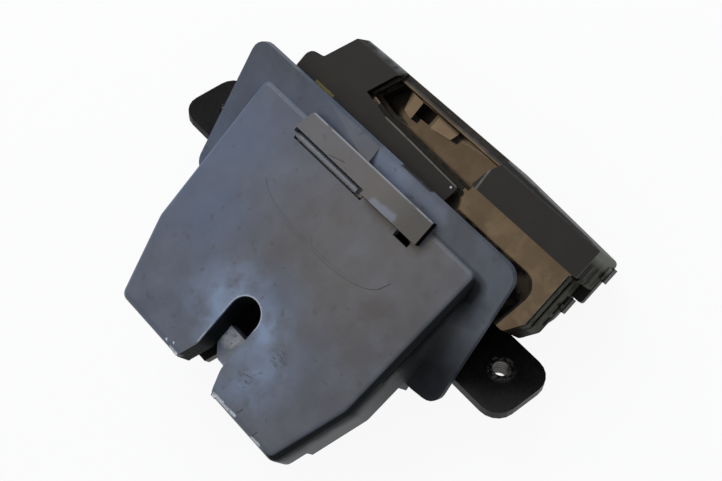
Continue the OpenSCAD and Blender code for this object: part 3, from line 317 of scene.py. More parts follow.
def paint(tree, under, layers):
    """A colour with each (mask, colour) layer laid over the ones before."""
    for mask, colour in layers:
        under = add(tree, "ShaderNodeMix", {0: mask, 6: under, 7: colour},
                    data_type="RGBA").outputs[2]
    return under


def layered(tree, shader, name, base, layers):
    """A number of the shader with each (mask, value) layer laid over the ones before."""
    for mask, value in layers:
        base = add(tree, "ShaderNodeMix", {0: mask, 2: base, 3: value}).outputs[0]
    tree.links.new(base, shader.inputs[name])


def relief(tree, shader, heights):
    """Bump from (height, depth in mm) pairs."""
    normal = None
    for height, depth in heights:
        inputs = {"Height": height, "Distance": abs(depth) * MM, "Strength": 1.0}
        if normal:
            inputs["Normal"] = normal
        normal = add(tree, "ShaderNodeBump", inputs, invert=depth < 0).outputs[0]
    tree.links.new(normal, shader.inputs["Normal"])


def axis_range(tree, place, axis, low, high):
    """0 below low mm and 1 above high mm along one axis."""
    parts = add(tree, "ShaderNodeSeparateXYZ", {0: place})
    ramp = add(tree, "ShaderNodeMapRange",
               {"Value": parts.outputs[axis], "From Min": low, "From Max": high})
    return ramp.outputs[0]


def between(tree, place, axis, low, high, soft=0.1):
    """1 from low to high mm along one axis, with soft ends of that length."""
    return both(tree, axis_range(tree, place, axis, low - soft, low),
                axis_range(tree, place, axis, high + soft, high))


def ramps(tree, place, limits):
    """The product of axis ranges, given as {axis: (low, high)}."""
    return both(tree, *(axis_range(tree, place, axis, *ends) for axis, ends in limits.items()))


def block(tree, place, sides):
    """1 inside a box given as {axis: (low, high)}, each with soft ends as in between."""
    return both(tree, *(between(tree, place, axis, *ends) for axis, ends in sides.items()))


def folded(tree, place):
    """The place with its X made positive, for what both sides share."""
    parts = add(tree, "ShaderNodeSeparateXYZ", {0: place})
    side = add(tree, "ShaderNodeMath", {0: parts.outputs["X"]}, operation="ABSOLUTE")
    return add(tree, "ShaderNodeCombineXYZ", {
        "X": side.outputs[0], "Y": parts.outputs["Y"], "Z": parts.outputs["Z"]}).outputs[0]


def cover_tones(tree, place, face, loose, front, look):
    """The cover's broad tones: a painted bluish light at the left, warm in the middle, painted
    shade on the collar's corners and far left, clouds, polish, smudges.
    """
    cool_light = axis_range(tree, ragged(tree, place, 30.0, 6.0), "X", *COVER_COOL_LIGHT_X)
    warm = spot(tree, loose, *COVER_WARM)
    broad = patches(tree, place, 24.0, 0.35, 0.7)
    shadow = patches(tree, ragged(tree, face, 9.0, 4.0), 13.0, 0.42, 0.74, detail=4.0)
    mottle = patches(tree, loose, 9.0, 0.40, 0.74, detail=4.0)
    fine = patches(tree, place, 5.0, 0.38, 0.66)
    blue = both(tree, spots(tree, loose, COVER_BLUES), front)
    polished = both(tree, spots(tree, loose, COVER_POLISH), front)
    cloudy = patches(tree, ragged(tree, face, 4.0, 2.0), 8.0, 0.28, 0.56, detail=4.0)
    smudge = both(tree, spots(tree, loose, COVER_SMUDGES), front, fine)
    layers = [
        # Painted light: a bluish cast on the cover's left side
        (both(tree, cool_light, 0.9), rgba(look.cool_light)),
        (both(tree, warm, 0.85), rgba(look.warm)),
        # Painted shade on the collar's corners and at the far left
        (both(tree, spots(tree, loose, COVER_PAINTED_SHADES), 0.74), rgba("#212328")),
        (both(tree, broad, 0.30), rgba("#6c7480")),
        (both(tree, fine, 0.22), rgba("#3d424b")),
        (both(tree, shadow, 0.15), rgba("#42454b")),
        (both(tree, mottle, 0.20), rgba("#7d8795")),
        (both(tree, blue, 0.55), rgba("#4f6078")),
        (both(tree, polished, cloudy, 0.85), rgba("#7f96b2")),
        (both(tree, smudge, 0.45), rgba("#34383f")),
    ]
    return layers, broad, fine, polished


def cover_edges(tree, place, face, loose):
    """Painted shade on the rounded edges to the right and above and in the collar's low corner;
    the skirt's flank.
    """
    below_face = axis_range(tree, place, "Z", *BELOW_FACE_Z)
    crest = both(tree, strokes(tree, face, FACE_CREST_SHADE), below_face)
    brink_shade = both(tree, strokes(tree, face, FACE_EDGE_SHADE), below_face,
                 axis_range(tree, ragged(tree, place, 7.0, 2.0), "Z", *FACE_EDGE_Z))
    flank = both(tree, strokes(tree, face, SKIRT_FLANK), between(tree, place, "Z", *FLANK_Z))
    hollow_shade = both(tree, spots(tree, loose, COVER_HOLLOW_SHADES),
                  axis_range(tree, place, "Z", *HOLLOW_SHADE_Z))
    layers = [
        # Painted shade on the face's upper right rounded edge, over its highlight
        (both(tree, crest, 0.4), rgba("#2c2f33")),
        (both(tree, flank, 0.5), rgba("#3b3a34")),
        # Painted shade along the face's lower right rounded edge
        (both(tree, brink_shade, 0.92), rgba("#0f1111")),
        # Painted shade in the collar's low corner below the side wall
        (both(tree, hollow_shade, 0.66), rgba("#141414")),
    ]
    return layers, either(tree, brink_shade, crest, hollow_shade)


def cover_strip(tree, place, face, loose, fine):
    """The raised strip's top, its painted highlights, the painted shade in its open end and
    pocket, and the collar above it with a painted sheen and a painted shadow at its gap.
    """
    strip = both(tree, axis_range(tree, place, "Z", *STRIP_Z), between(tree, place, "Y", *STRIP_Y))
    sheen = strokes(tree, ragged(tree, place, 3.0, 0.8), STRIP_SHEEN)
    collar = both(tree, strokes(tree, ragged(tree, place, 5.0, 2.0), COLLAR_SHEEN),
                  ramps(tree, place, COLLAR_LIMITS))
    edge = both(tree, strokes(tree, place, STRIP_EDGE_HIGHLIGHT), patches(tree, place, 5.0, 0.25, 0.45))
    ends = either(tree, block(tree, place, STRIP_END_SHADE), block(tree, place, STRIP_POCKET_SHADE))
    layers = [
        (both(tree, strip, 0.5), rgba("#5e5c57")),
        (both(tree, strip, axis_range(tree, loose, "X", *STRIP_DARK_X), 0.9), rgba("#343636")),
        (both(tree, sheen, sheen, strip, 0.5), rgba("#858da0")),
        # Painted light: the bluish sheen on the collar right of the notch
        (both(tree, collar, 0.8), rgba("#7f889a")),
        (both(tree, collar, fine, 0.5), rgba("#5f6c7c")),
        # Painted shadow in the gap between the collar and the housing's block
        (strokes(tree, face, COLLAR_GAP_SHADOW), rgba("#0a0a0a")),
        # Painted highlight along the strip's upper edge
        (both(tree, edge, 0.6), rgba("#a8adb0")),
        # Painted shade on the strip's open end and inside its pocket
        (both(tree, ends, 0.95), rgba("#0f0e0d")),
    ]
    return layers, ends


def cover_wear(tree, place, face, loose, front):
    """The slot's sides painted dark as shade, its rubbed edge with a painted highlight, the
    scratches, and the white scrapes at the mouth.
    """
    jagged = ragged(tree, face, 0.9, 0.35)
    wall_shade = ramps(tree, folded(tree, place), SLOT_WALL_SHADE)
    lip = both(tree, wall_shade, axis_range(tree, loose, "Y", *SLOT_LIP_Y),
               patches(tree, place, 1.6, 0.45, 0.6))
    away = add(tree, "ShaderNodeVectorMath", {0: jagged, 1: SLOT_AXIS}, operation="DISTANCE")
    ring = add(tree, "ShaderNodeMath", {0: away.outputs["Value"], 1: SLOT_RIM_R, 2: 0.3},
               operation="COMPARE").outputs[0]
    rim_wear_and_highlight = both(tree, either(tree, both(tree, ring, axis_range(tree, place, "Y", *RIM_Y)),
                            both(tree, strokes(tree, jagged, SLOT_EDGE),
                                 patches(tree, place, 2.5, 0.4, 0.55))),
               axis_range(tree, place, "Z", *RIM_Z))
    white = both(tree, either(tree, strokes(tree, jagged, MOUTH_SCRAPES),
                              spots(tree, jagged, MOUTH_NICKS)),
                 patches(tree, place, 0.9, 0.30, 0.46), front)
    turned = add(tree, "ShaderNodeMapping",
                 {0: face, "Rotation": (0, 0, math.radians(24)), "Scale": (0.35, 2.6, 1.0)})
    lines = patches(tree, turned.outputs[0], 1.0, 0.57, 0.63, detail=1.0)
    scratches = both(tree, either(tree, both(tree, lines, spots(tree, loose, SCRATCHED_FIELDS)),
                                  strokes(tree, jagged, CURLED_SCRATCHES)), front)
    stain = both(tree, spots(tree, loose, SLOT_STAIN), front)
    speck = patches(tree, place, 2.4, 0.775, 0.80, detail=0.0)
    layers = [
        # Painted shade on the slot's sides
        (both(tree, wall_shade, 0.96), rgba("#0d0f0e")),
        (both(tree, lip, 0.6), rgba("#33362b")),
        (both(tree, stain, 0.5), rgba("#443a42")),
        (both(tree, scratches, 0.85), rgba("#1c1e24")),
        (both(tree, speck, 0.35), rgba("#2e3036")),
        # The slot's rubbed edge, with a painted highlight on its upper and left side
        (both(tree, rim_wear_and_highlight, 0.75), rgba("#b4bcc6")),
        (both(tree, white, 0.9), rgba("#e8ebee")),
    ]
    return layers, wall_shade, rim_wear_and_highlight, scratches, white


# Moulded polyamide with a fine spark-eroded grain, years in a boot: satin slate grey with
# cloudy lighter zones, warm in the middle, polished at the slot and scraped at the mouth.
def cover_polyamide(look):
    material, tree, shader, place = begin("moulded satin polyamide", IOR=1.5)
    face = flat(tree, place)
    front = axis_range(tree, place, "Z", *FRONT_Z)
    # Soft marks are drawn at a place shifted at random, so that none has a ruled edge
    loose = ragged(tree, face, 6.0, 2.2)
    tones, broad, fine, polished = cover_tones(tree, place, face, loose, front, look)
    edges, painted_shade_edges = cover_edges(tree, place, face, loose)
    strip, strip_end_shade = cover_strip(tree, place, face, loose, fine)
    wear, wall_shade, rim_wear_and_highlight, scratches, white = cover_wear(tree, place, face, loose, front)
    colour = paint(tree, rgba(look.slate), tones + edges + strip + wear)
    tree.links.new(colour, shader.inputs["Base Color"])
    layered(tree, shader, "Roughness", look.rough, [
        (both(tree, broad, 0.5), look.rough + 0.08), (polished, look.rough - 0.08),
        (white, 0.8), (rim_wear_and_highlight, 0.35)])
    # The painted shade on the edges, the slot's sides and the strip's open end loses most of its
    # gloss
    layered(tree, shader, "Specular IOR Level", 0.5, [
        (painted_shade_edges, 0.06), (either(tree, wall_shade, strip_end_shade), 0.02)])
    # The grain is about 0.1 mm; it is drawn at 0.45 mm so that it shows at all
    grain = patches(tree, place, 0.45, 0.2, 0.8, detail=1.0)
    relief(tree, shader, [(grain, 0.012), (fine, 0.03), (scratches, -0.06), (white, -0.08)])
    return material


def recess_masks(tree, place, plan, loose):
    """The spots of the glossy recess painted dark as shade: its ledge, steps, well, bowl and
    shaded wedge.
    """
    ledge = block(tree, place, LEDGE)
    steps = both(tree, axis_range(tree, place, "Z", *STEPS_TOP_Z),
                 axis_range(tree, place, "Z", *STEPS_LOW_Z))
    beside = both(tree, axis_range(tree, place, "Y", *BESIDE_STEM_Y),
                  spot(tree, plan, *BESIDE_STEM))
    bowl = both(tree, axis_range(tree, loose, "X", *BOWL_X), ramps(tree, place, BOWL))
    wedge = both(tree, strokes(tree, plan, RECESS_WEDGE), between(tree, place, "Z", *WEDGE_Z))
    deep = either(tree, ramps(tree, place, WELL), bowl, wedge)
    return ledge, either(tree, beside, steps), deep


# Glossy injection-moulded ABS, near black; its raised blocks have a matte eroded face. The sides
# and the recess's deep spots are painted near black and matt as shade; its edges carry painted
# highlights.
def housing_abs(look):
    material, tree, shader, place = begin("gloss ABS with matte blocks", IOR=1.53)
    plan = flat(tree, place)
    loose = ragged(tree, place, 5.0, 1.6)
    top = axis_range(tree, place, "Z", *BLOCK_TOP)
    bevel = axis_range(tree, place, "Z", *CASE_BEVEL_Z)
    dust = patches(tree, place, 2.2, 0.56, 0.8)
    smear = patches(tree, place, 9.0, 0.42, 0.68)
    cloud = patches(tree, place, 2.6, 0.34, 0.6)
    # Yellow-brown patches in the recess: a painted reflection, added to the mirror image of the
    # warm card
    tan_reflection = both(tree, patches(tree, ragged(tree, place, 8.0, 4.0), 6.0, 0.44, 0.62, detail=4.0),
               between(tree, place, "Z", *TAN_REFLECTION_Z))
    upper = axis_range(tree, ragged(tree, place, 2.0, 0.5), "Y", *CASE_UPPER_Y)
    # Painted shade: the case's end face, kept dark with little gloss
    end = both(tree, axis_range(tree, place, "X", *CASE_END_X),
               either(tree, axis_range(tree, place, "Z", *CASE_END_LOW_Z),
                      axis_range(tree, place, "X", *CASE_END_TIP_X)),
               axis_range(tree, place, "Z", *CASE_END_Z))
    # Painted shade on the case's lower corner, over its highlight
    foot = ramps(tree, place, CASE_FOOT)
    stripes = both(tree, end, either(tree, *(between(tree, place, "Z", *ends)
                                             for ends in STRIPES_Z)),
                   patches(tree, place, 3.0, 0.3, 0.55))
    round_end_highlight = both(tree, spot(tree, plan, *CASE_ROUND_END_HIGHLIGHT),
                     axis_range(tree, place, "Z", *CASE_ROUND_END_Z))
    pads = both(tree, between(tree, place, "Z", *PADS_Z), axis_range(tree, place, "Y", *PADS_Y))
    floor = axis_range(tree, place, "Z", *FLOOR_Z)
    ledge, wall_shade, deep = recess_masks(tree, place, plan, loose)
    dull_shade = either(tree, end, foot, ledge, wall_shade, deep, both(tree, upper, 0.9))
    block_edge_highlight = both(tree, strokes(tree, place, BLOCK_EDGE_HIGHLIGHTS),
                      patches(tree, place, 3.0, 0.25, 0.45))
    outer_edge_highlight = both(tree, strokes(tree, plan, CASE_OUTER_HIGHLIGHT),
                      patches(tree, place, 6.0, 0.3, 0.5), bevel)
    rubbed = both(tree, axis_range(tree, ragged(tree, place, 2.5, 0.8), "Y", *CASE_RUB_AND_HIGHLIGHT_Y),
                  between(tree, ragged(tree, place, 6.0, 3.0), "X", *CASE_RUB_AND_HIGHLIGHT_X), cloud, bevel)
    hook_reflection = both(tree, strokes(tree, ragged(tree, place, 1.0, 0.3), BLOCK_HOOK_REFLECTION), top)
    dot = spot(tree, place, *BLOCK_DOT)
    colour = paint(tree, rgba(look.gloss), [
        (both(tree, dust, 0.10), rgba("#4a453e")),
        # Painted reflection: yellow-brown patches in the recess
        (both(tree, tan_reflection, 0.28), rgba("#6d5c49")),
        # Painted shade on the sides, the end, the foot and the recess's deep spots
        (dull_shade, rgba("#14120f")),
        (both(tree, wall_shade, cloud, 0.6), rgba("#3a3227")),
        (top, rgba(look.matte)),
        (both(tree, top, smear, 0.4), rgba("#2b2822")),
        (both(tree, stripes, 0.75), rgba("#55554a")),
        # Painted highlight on the case's rounded end
        (both(tree, round_end_highlight, 0.8), rgba("#85877a")),
        # Painted shade on the recess's ledge
        (both(tree, ledge, 0.8), rgba("#26241f")),
        (both(tree, upper, smear, 0.3), rgba("#2d2c29")),
        # Rubbed wear and painted highlight on the outer bevel, and a painted highlight along the
        # outer top edge
        (both(tree, rubbed, 0.5), rgba("#8d8e8a")),
        (both(tree, outer_edge_highlight, 0.65), rgba("#84857f")),
        # Painted highlights along the blocks' edges
        (both(tree, block_edge_highlight, 0.7), rgba("#8a867b")),
        # Painted warm reflection on the small hook by the collar
        (both(tree, hook_reflection, 0.6), rgba("#8a7c42")),
        (dot, rgba("#d8dad8")),
    ])
    tree.links.new(colour, shader.inputs["Base Color"])
    layered(tree, shader, "Roughness", look.gloss_rough, [
        (both(tree, smear, 0.6), look.gloss_rough + 0.10), (dull_shade, 0.5),
        (top, look.matte_rough), (either(tree, rubbed, outer_edge_highlight), 0.6)])
    # Smears and the painted shade take the mirror image from the blocks, the sides and the deep
    # spots
    layered(tree, shader, "Specular IOR Level", 0.5, [
        (both(tree, smear, 0.7), 0.36), (tan_reflection, 0.55), (floor, 0.4), (pads, 0.72), (dull_shade, 0.10),
        (either(tree, end, foot), 0.02), (top, 0.16)])
    grain = patches(tree, place, 0.5, 0.2, 0.8, detail=1.0)
    wave = patches(tree, place, 14.0, 0.2, 0.8, detail=0.0)
    relief(tree, shader, [(both(tree, grain, top), 0.02), (wave, 0.10)])
    return material


# Satin ABS of the rear cover: near black, rubbed grey along the edge that stands on things.
def rear_abs():
    material, tree, shader, place = begin("satin ABS rear cover", IOR=1.53)
    flow = patches(tree, place, 7.0, 0.3, 0.7)
    cloud = patches(tree, place, 3.0, 0.36, 0.6)
    edge = both(tree, ramps(tree, place, REAR_EDGE), patches(tree, place, 4.0, 0.3, 0.5))
    corner = both(tree, spot(tree, place, *REAR_CORNER), cloud)
    colour = paint(tree, rgba("#161614"), [
        (both(tree, flow, 0.3), rgba("#0f0f0e")),
        (both(tree, edge, 0.5), rgba("#7c7d7b")),
        (both(tree, corner, 0.6), rgba("#5d5f55")),
    ])
    tree.links.new(colour, shader.inputs["Base Color"])
    layered(tree, shader, "Roughness", 0.42, [(both(tree, flow, 0.5), 0.5), (edge, 0.7)])
    shader.inputs["Specular IOR Level"].default_value = 0.2
    relief(tree, shader, [(patches(tree, place, 0.5, 0.2, 0.8, detail=1.0), 0.01)])
    return material


# Injection-moulded technical plastic: one colour with slight flow marks and dust.
def moulded(name, code, rough):
    material, tree, shader, place = begin(name, IOR=1.5)
    flow = patches(tree, place, 7.0, 0.3, 0.7)
    dust = patches(tree, place, 1.4, 0.6, 0.75)
    base = Vector(linear(code))
    colour = paint(tree, rgba(code), [
        (both(tree, flow, 0.3), rgba(base * 0.8)),
        (both(tree, dust, 0.25), rgba(base * 0.6 + Vector(linear("#6a665e")) * 0.4)),
    ])
    tree.links.new(colour, shader.inputs["Base Color"])
    layered(tree, shader, "Roughness", rough, [(both(tree, flow, 0.5), rough + 0.12)])
    relief(tree, shader, [(patches(tree, place, 0.5, 0.2, 0.8, detail=1.0), 0.01)])
    return material


# Bare or plated steel: drawn, turned or stamped, with a light patina in the low spots.
def steel(name, code, rough, lines=(1.0, 1.0, 1.0)):
    material, tree, shader, place = begin(name, Metallic=1.0)
    drawn = add(tree, "ShaderNodeMapping", {0: place, "Scale": lines})
    brushed = patches(tree, drawn.outputs[0], 0.6, 0.3, 0.7)
    patina = patches(tree, place, 4.0, 0.45, 0.7)
    base = Vector(linear(code))
    colour = paint(tree, rgba(code), [
        (both(tree, brushed, 0.3), rgba(base * 0.75)),
        (both(tree, patina, 0.4), rgba(base * 0.55)),
    ])
    tree.links.new(colour, shader.inputs["Base Color"])
    layered(tree, shader, "Roughness", rough, [
        (both(tree, brushed, 0.4), rough + 0.15), (both(tree, patina, 0.5), rough + 0.25)])
    relief(tree, shader, [(brushed, 0.008)])
    return material


# Zinc-plated steel claw, its upper side hazed blue-grey and scraped white by the striker.
def claw_steel():
    material, tree, shader, place = begin("zinc-plated steel, scuffed")
    haze = patches(tree, place, 3.0, 0.35, 0.62)
    swirl = ragged(tree, place, 1.1, 1.0)
    worn = spot(tree, swirl, CLAW_WORN, 1.7, 3.9)
    streaks = patches(tree, add(tree, "ShaderNodeMapping", {
        0: swirl, "Scale": (1.0, 0.3, 1.0)}).outputs[0], 0.9, 0.36, 0.50)
    colour = paint(tree, rgba("#8e9aad"), [
        (both(tree, haze, 0.4), rgba("#6d7788")),
        (both(tree, worn, 0.7), rgba("#b9c3d0")),
        (both(tree, worn, streaks), rgba("#fafcfe")),
    ])
    layered(tree, shader, "Metallic", 0.35, [(worn, 0.0)])
    tree.links.new(colour, shader.inputs["Base Color"])
    layered(tree, shader, "Roughness", 0.42, [(haze, 0.55), (worn, 0.7)])
    relief(tree, shader, [(haze, 0.02), (worn, -0.03)])
    return material


# Sheet steel under a black dip coat: soft sheen with orange peel, thin and paler on the edges
# and rubbed to bare metal round the threaded holes.
def coated_steel(look):
    material, tree, shader, place = begin("black dip-coated steel", IOR=1.5)
    layered(tree, shader, "Specular IOR Level", 0.16,
            [(axis_range(tree, place, "X", *EAR_SHADE_X), 0.04)])
    peel = patches(tree, place, 1.3, 0.25, 0.75, detail=1.0)
    broad = patches(tree, place, 9.0, 0.35, 0.7)
    chips = patches(tree, place, 0.9, 0.5, 0.6)
    mirrored = folded(tree, place)
    tilt = math.radians(EAR_TILT)
    axis = Vector((0, math.sin(tilt), math.cos(tilt)))
    hole = Vector((EAR_X, 0, EAR_HOLE_Z))
    rubbed = either(
        tree,
        both(tree, stroke(tree, mirrored, hole - axis * 7, hole + axis * 0.3, 2.9), 0.8),
        both(tree, spot(tree, mirrored, hole + axis * 0.5, 3.6, 4.4), chips, 0.5))
    colour = paint(tree, rgba(look.coat), [
        (both(tree, broad, 0.5), rgba("#1b1917")),
        (both(tree, chips, 0.06), rgba("#4a4742")),
        (rubbed, rgba("#8f8c86")),
    ])
    tree.links.new(colour, shader.inputs["Base Color"])
    tree.links.new(both(tree, rubbed, 0.9), shader.inputs["Metallic"])
    layered(tree, shader, "Roughness", look.coat_rough, [
        (both(tree, broad, 0.5), look.coat_rough + 0.12), (rubbed, 0.35)])
    relief(tree, shader, [(peel, 0.02)])
    return material


# Moulded rubber: dead matt, a little chalky.
def rubber():
    material, tree, shader, place = begin("moulded rubber", IOR=1.52)
    chalk = patches(tree, place, 2.0, 0.4, 0.7)
    colour = paint(tree, rgba("#1a1a1a"), [(both(tree, chalk, 0.4), rgba("#34332f"))])
    tree.links.new(colour, shader.inputs["Base Color"])
    layered(tree, shader, "Roughness", 0.75, [(chalk, 0.9)])
    relief(tree, shader, [(chalk, 0.03)])
    return material


def dress(node, material):
    """Gives a CAD node its material."""
    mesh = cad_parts[node].data
    mesh.materials.clear()
    mesh.materials.append(material)


def baked(obj, body):
    """The object's evaluated modifiers as a plain mesh that rides on a body."""
    graph = bpy.context.evaluated_depsgraph_get()
    mesh = bpy.data.meshes.new_from_object(obj.evaluated_get(graph))
    mesh.name = obj.name
    obj.modifiers.clear()
    obj.data = mesh
    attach(obj, body)
    return obj


def ring_of(corners, r, steps=5):
    """An outline's corners, each rounded by r into that many points, counter-clockwise."""
    points = []
    for i, corner in enumerate(corners):
        to_last = (Vector(corners[i - 1]) - Vector(corner)).normalized()
        to_next = (Vector(corners[(i + 1) % len(corners)]) - Vector(corner)).normalized()
        middle = Vector(corner) + (to_last + to_next) * r
        start, end = Vector(corner) + to_last * r - middle, Vector(corner) + to_next * r - middle
        for k in range(steps + 1):
            way = start.lerp(end, k / steps).normalized() * start.length
            points.append(middle + way)
    return points


def plate(shape, corners, r, low, high):
    """Adds a closed flat plate with rounded corners and chamfered rims to a bmesh."""
    chamfer = 0.35
    levels = [(low, chamfer), (low + chamfer, 0), (high - chamfer, 0), (high, chamfer)]
    centre = sum((Vector(c) for c in corners), Vector((0, 0))) / len(corners)
    rings = []
    for z, inset in levels:
        ring = []
        for point in ring_of(corners, r):
            inwards = (centre - point).normalized() * inset
            ring.append(shape.verts.new(((point + inwards) * MM).to_3d() + Vector((0, 0, z * MM))))
        rings.append(ring)
    for below, above in zip(rings, rings[1:]):
        for i in range(len(below)):
            j = (i + 1) % len(below)
            shape.faces.new((below[i], below[j], above[j], above[i]))
    shape.faces.new(list(reversed(rings[0])))
    shape.faces.new(rings[-1])


def make_guard(material):
    """The rear cover's flat tongue behind the claw, with two ribs, seen dark in the slot."""
    shape = bmesh.new()
    plate(shape, [(GUARD_X0, GUARD_Y0), (GUARD_X1, GUARD_Y0), (GUARD_X1, GUARD_Y1),
                  (GUARD_X0, GUARD_Y1)], GUARD_R, GUARD_Z - GUARD_T, GUARD_Z)
    for x in RIBS_X:
        plate(shape, [(x, RIB_Y0), (x + RIB_W, RIB_Y0), (x + RIB_W, RIB_Y1), (x, RIB_Y1)],
              RIB_R, GUARD_Z - RIB_SUNK, GUARD_Z + RIB_H)
    mesh = bpy.data.meshes.new("claw_guard")
    shape.to_mesh(mesh)
    shape.free()
    mesh.materials.append(material)
    guard = bpy.data.objects.new("claw_guard", mesh)
    bpy.context.scene.collection.objects.link(guard)
    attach(guard, "lock_body")


class CoverLook(bpy.types.PropertyGroup):
    slate: FloatVectorProperty(name="Slate", subtype="COLOR", default=linear("#474c55"),
                               description="Main colour of the moulded cover")
    # The cool colour is painted bluish light on the cover's left side
    cool_light: FloatVectorProperty(name="Cool", subtype="COLOR", default=linear("#45546c"),
                              description="Colour towards the cover's left side")
    warm: FloatVectorProperty(name="Warm", subtype="COLOR", default=linear("#4e4d4b"),
                              description="Colour in the cover's middle")
    rough: FloatProperty(name="Roughness", default=0.46, min=0.2, max=0.8, subtype="FACTOR",
                         description="Roughness of the cover's grain")


class HousingLook(bpy.types.PropertyGroup):
    gloss: FloatVectorProperty(name="Gloss", subtype="COLOR", default=linear("#0d0c0b"),
                               description="Colour of the glossy housing")
    matte: FloatVectorProperty(name="Matte", subtype="COLOR", default=linear("#201f1d"),
                               description="Colour of the housing's matte blocks")
    gloss_rough: FloatProperty(name="Gloss roughness", default=0.07, min=0, max=0.5,
                               subtype="FACTOR", description="Roughness of the glossy faces")
    matte_rough: FloatProperty(name="Matte roughness", default=0.55, min=0.3, max=1,
                               subtype="FACTOR", description="Roughness of the matte blocks")


class MetalLook(bpy.types.PropertyGroup):
    coat: FloatVectorProperty(name="Coat", subtype="COLOR", default=linear("#0c0b0b"),
                              description="Colour of the frame plate's dip coat")
    coat_rough: FloatProperty(name="Coat roughness", default=0.34, min=0.1, max=0.8,
                              subtype="FACTOR", description="Roughness of the dip coat")
    thread_pitch: FloatProperty(name="Thread pitch", default=1.0 * MM, min=0.5 * MM,
                                max=2 * MM, unit="LENGTH",
                                description="Pitch of the ears' threads")
    thread_turns: IntProperty(name="Thread turns", default=6, min=2, max=10,
                              description="Turns of thread in each ear")
    thread_r: FloatProperty(name="Thread radius", default=2.5 * MM, min=2 * MM, max=4 * MM,
                            unit="LENGTH", description="Radius of the threaded hole's wall")


class StageLook(bpy.types.PropertyGroup):
    floor: FloatVectorProperty(name="Floor", subtype="COLOR", default=linear("#f6f6f6"),
                               description="Colour of the plain floor")
    floor_w: FloatProperty(name="Floor width", default=4.0, min=1, max=20, unit="LENGTH",
                           description="Side of the square floor")
    ambient: FloatProperty(name="Ambient", default=0.42, min=0, max=2,
                           description="Strength of the even light from all round")
    key_w: FloatProperty(name="Key light", default=4.6, min=0, max=20, unit="POWER",
                         description="Power of the large soft lamp above")
    card_w: FloatProperty(name="Warm card", default=0.44, min=0, max=5, unit="POWER",
                          description="Power of the warm panel that the gloss mirrors")


class LOCK_OT_cover(bpy.types.Operator):
    """Finishes the moulded front cover and the release slider"""
    bl_idname = "lock.finish_cover"
    bl_label = "Finish Front Cover"

    def execute(self, context):
        dress("front_cover", cover_polyamide(context.scene.lock_cover))
        dress("release_slider", moulded("satin acetal slider", "#7c8086", 0.3))
        return {"FINISHED"}


class LOCK_OT_housing(bpy.types.Operator):
    """Finishes the actuator housing and its rear cover, with the tongue behind the claw"""
    bl_idname = "lock.finish_housing"
    bl_label = "Finish Housing"

    def execute(self, context):
        dress("case", housing_abs(context.scene.lock_housing))
        satin = rear_abs()
        dress("rear_cover", satin)
        make_guard(satin)
        dress("terminals", steel("tinned brass blades", "#c9b27a", 0.3, (0.2, 1.0, 1.0)))
        return {"FINISHED"}


class LOCK_OT_metals(bpy.types.Operator):
    """Finishes the frame plate, the claw, the pawl, their pins and springs"""
    bl_idname = "lock.finish_metals"
    bl_label = "Finish Metal Pieces"

    def execute(self, context):
        dress("frame_plate", coated_steel(context.scene.lock_metal))
        dress("claw", claw_steel())
        dress("pawl", steel("yellow-zinc steel pawl", "#a39a83", 0.4))
        dress("release_lever", steel("stamped steel lever", "#8f8c86", 0.42))
        turned = steel("turned steel", "#b4b5b8", 0.28, (1.0, 1.0, 0.2))
        for node in ("claw_pin", "pawl_pin", "drive_dowel", "wheel_axle", "motor_shaft"):
            dress(node, turned)
        wire = steel("spring wire", "#9a9b9e", 0.32)
        for node in ("claw_spring", "pawl_spring"):
            dress(node, wire)
        dress("screws", steel("zinc-plated screws", "#a8aaad", 0.35))
        dress("motor", steel("drawn zinc-plated can", "#aeb0b3", 0.3, (0.2, 1.0, 1.0)))
        return {"FINISHED"}


class LOCK_OT_small_parts(bpy.types.Operator):
    """Finishes the plastic and rubber pieces inside the lock"""
    bl_idname = "lock.finish_small_parts"
    bl_label = "Finish Small Pieces"

    def execute(self, context):
        dress("claw_band", moulded("black damping band", "#1f1f20", 0.5))
        dress("buffer", rubber())
        dress("motor_cap", moulded("grey end cap", "#3a3a3c", 0.5))
        acetal = moulded("natural acetal", "#ddd8c8", 0.35)
        for node in ("worm", "worm_wheel"):
            dress(node, acetal)
        dress("microswitch", moulded("switch body", "#1d1d1e", 0.5))
        dress("switch_plunger", moulded("red plunger", "#b8402c", 0.4))
        return {"FINISHED"}


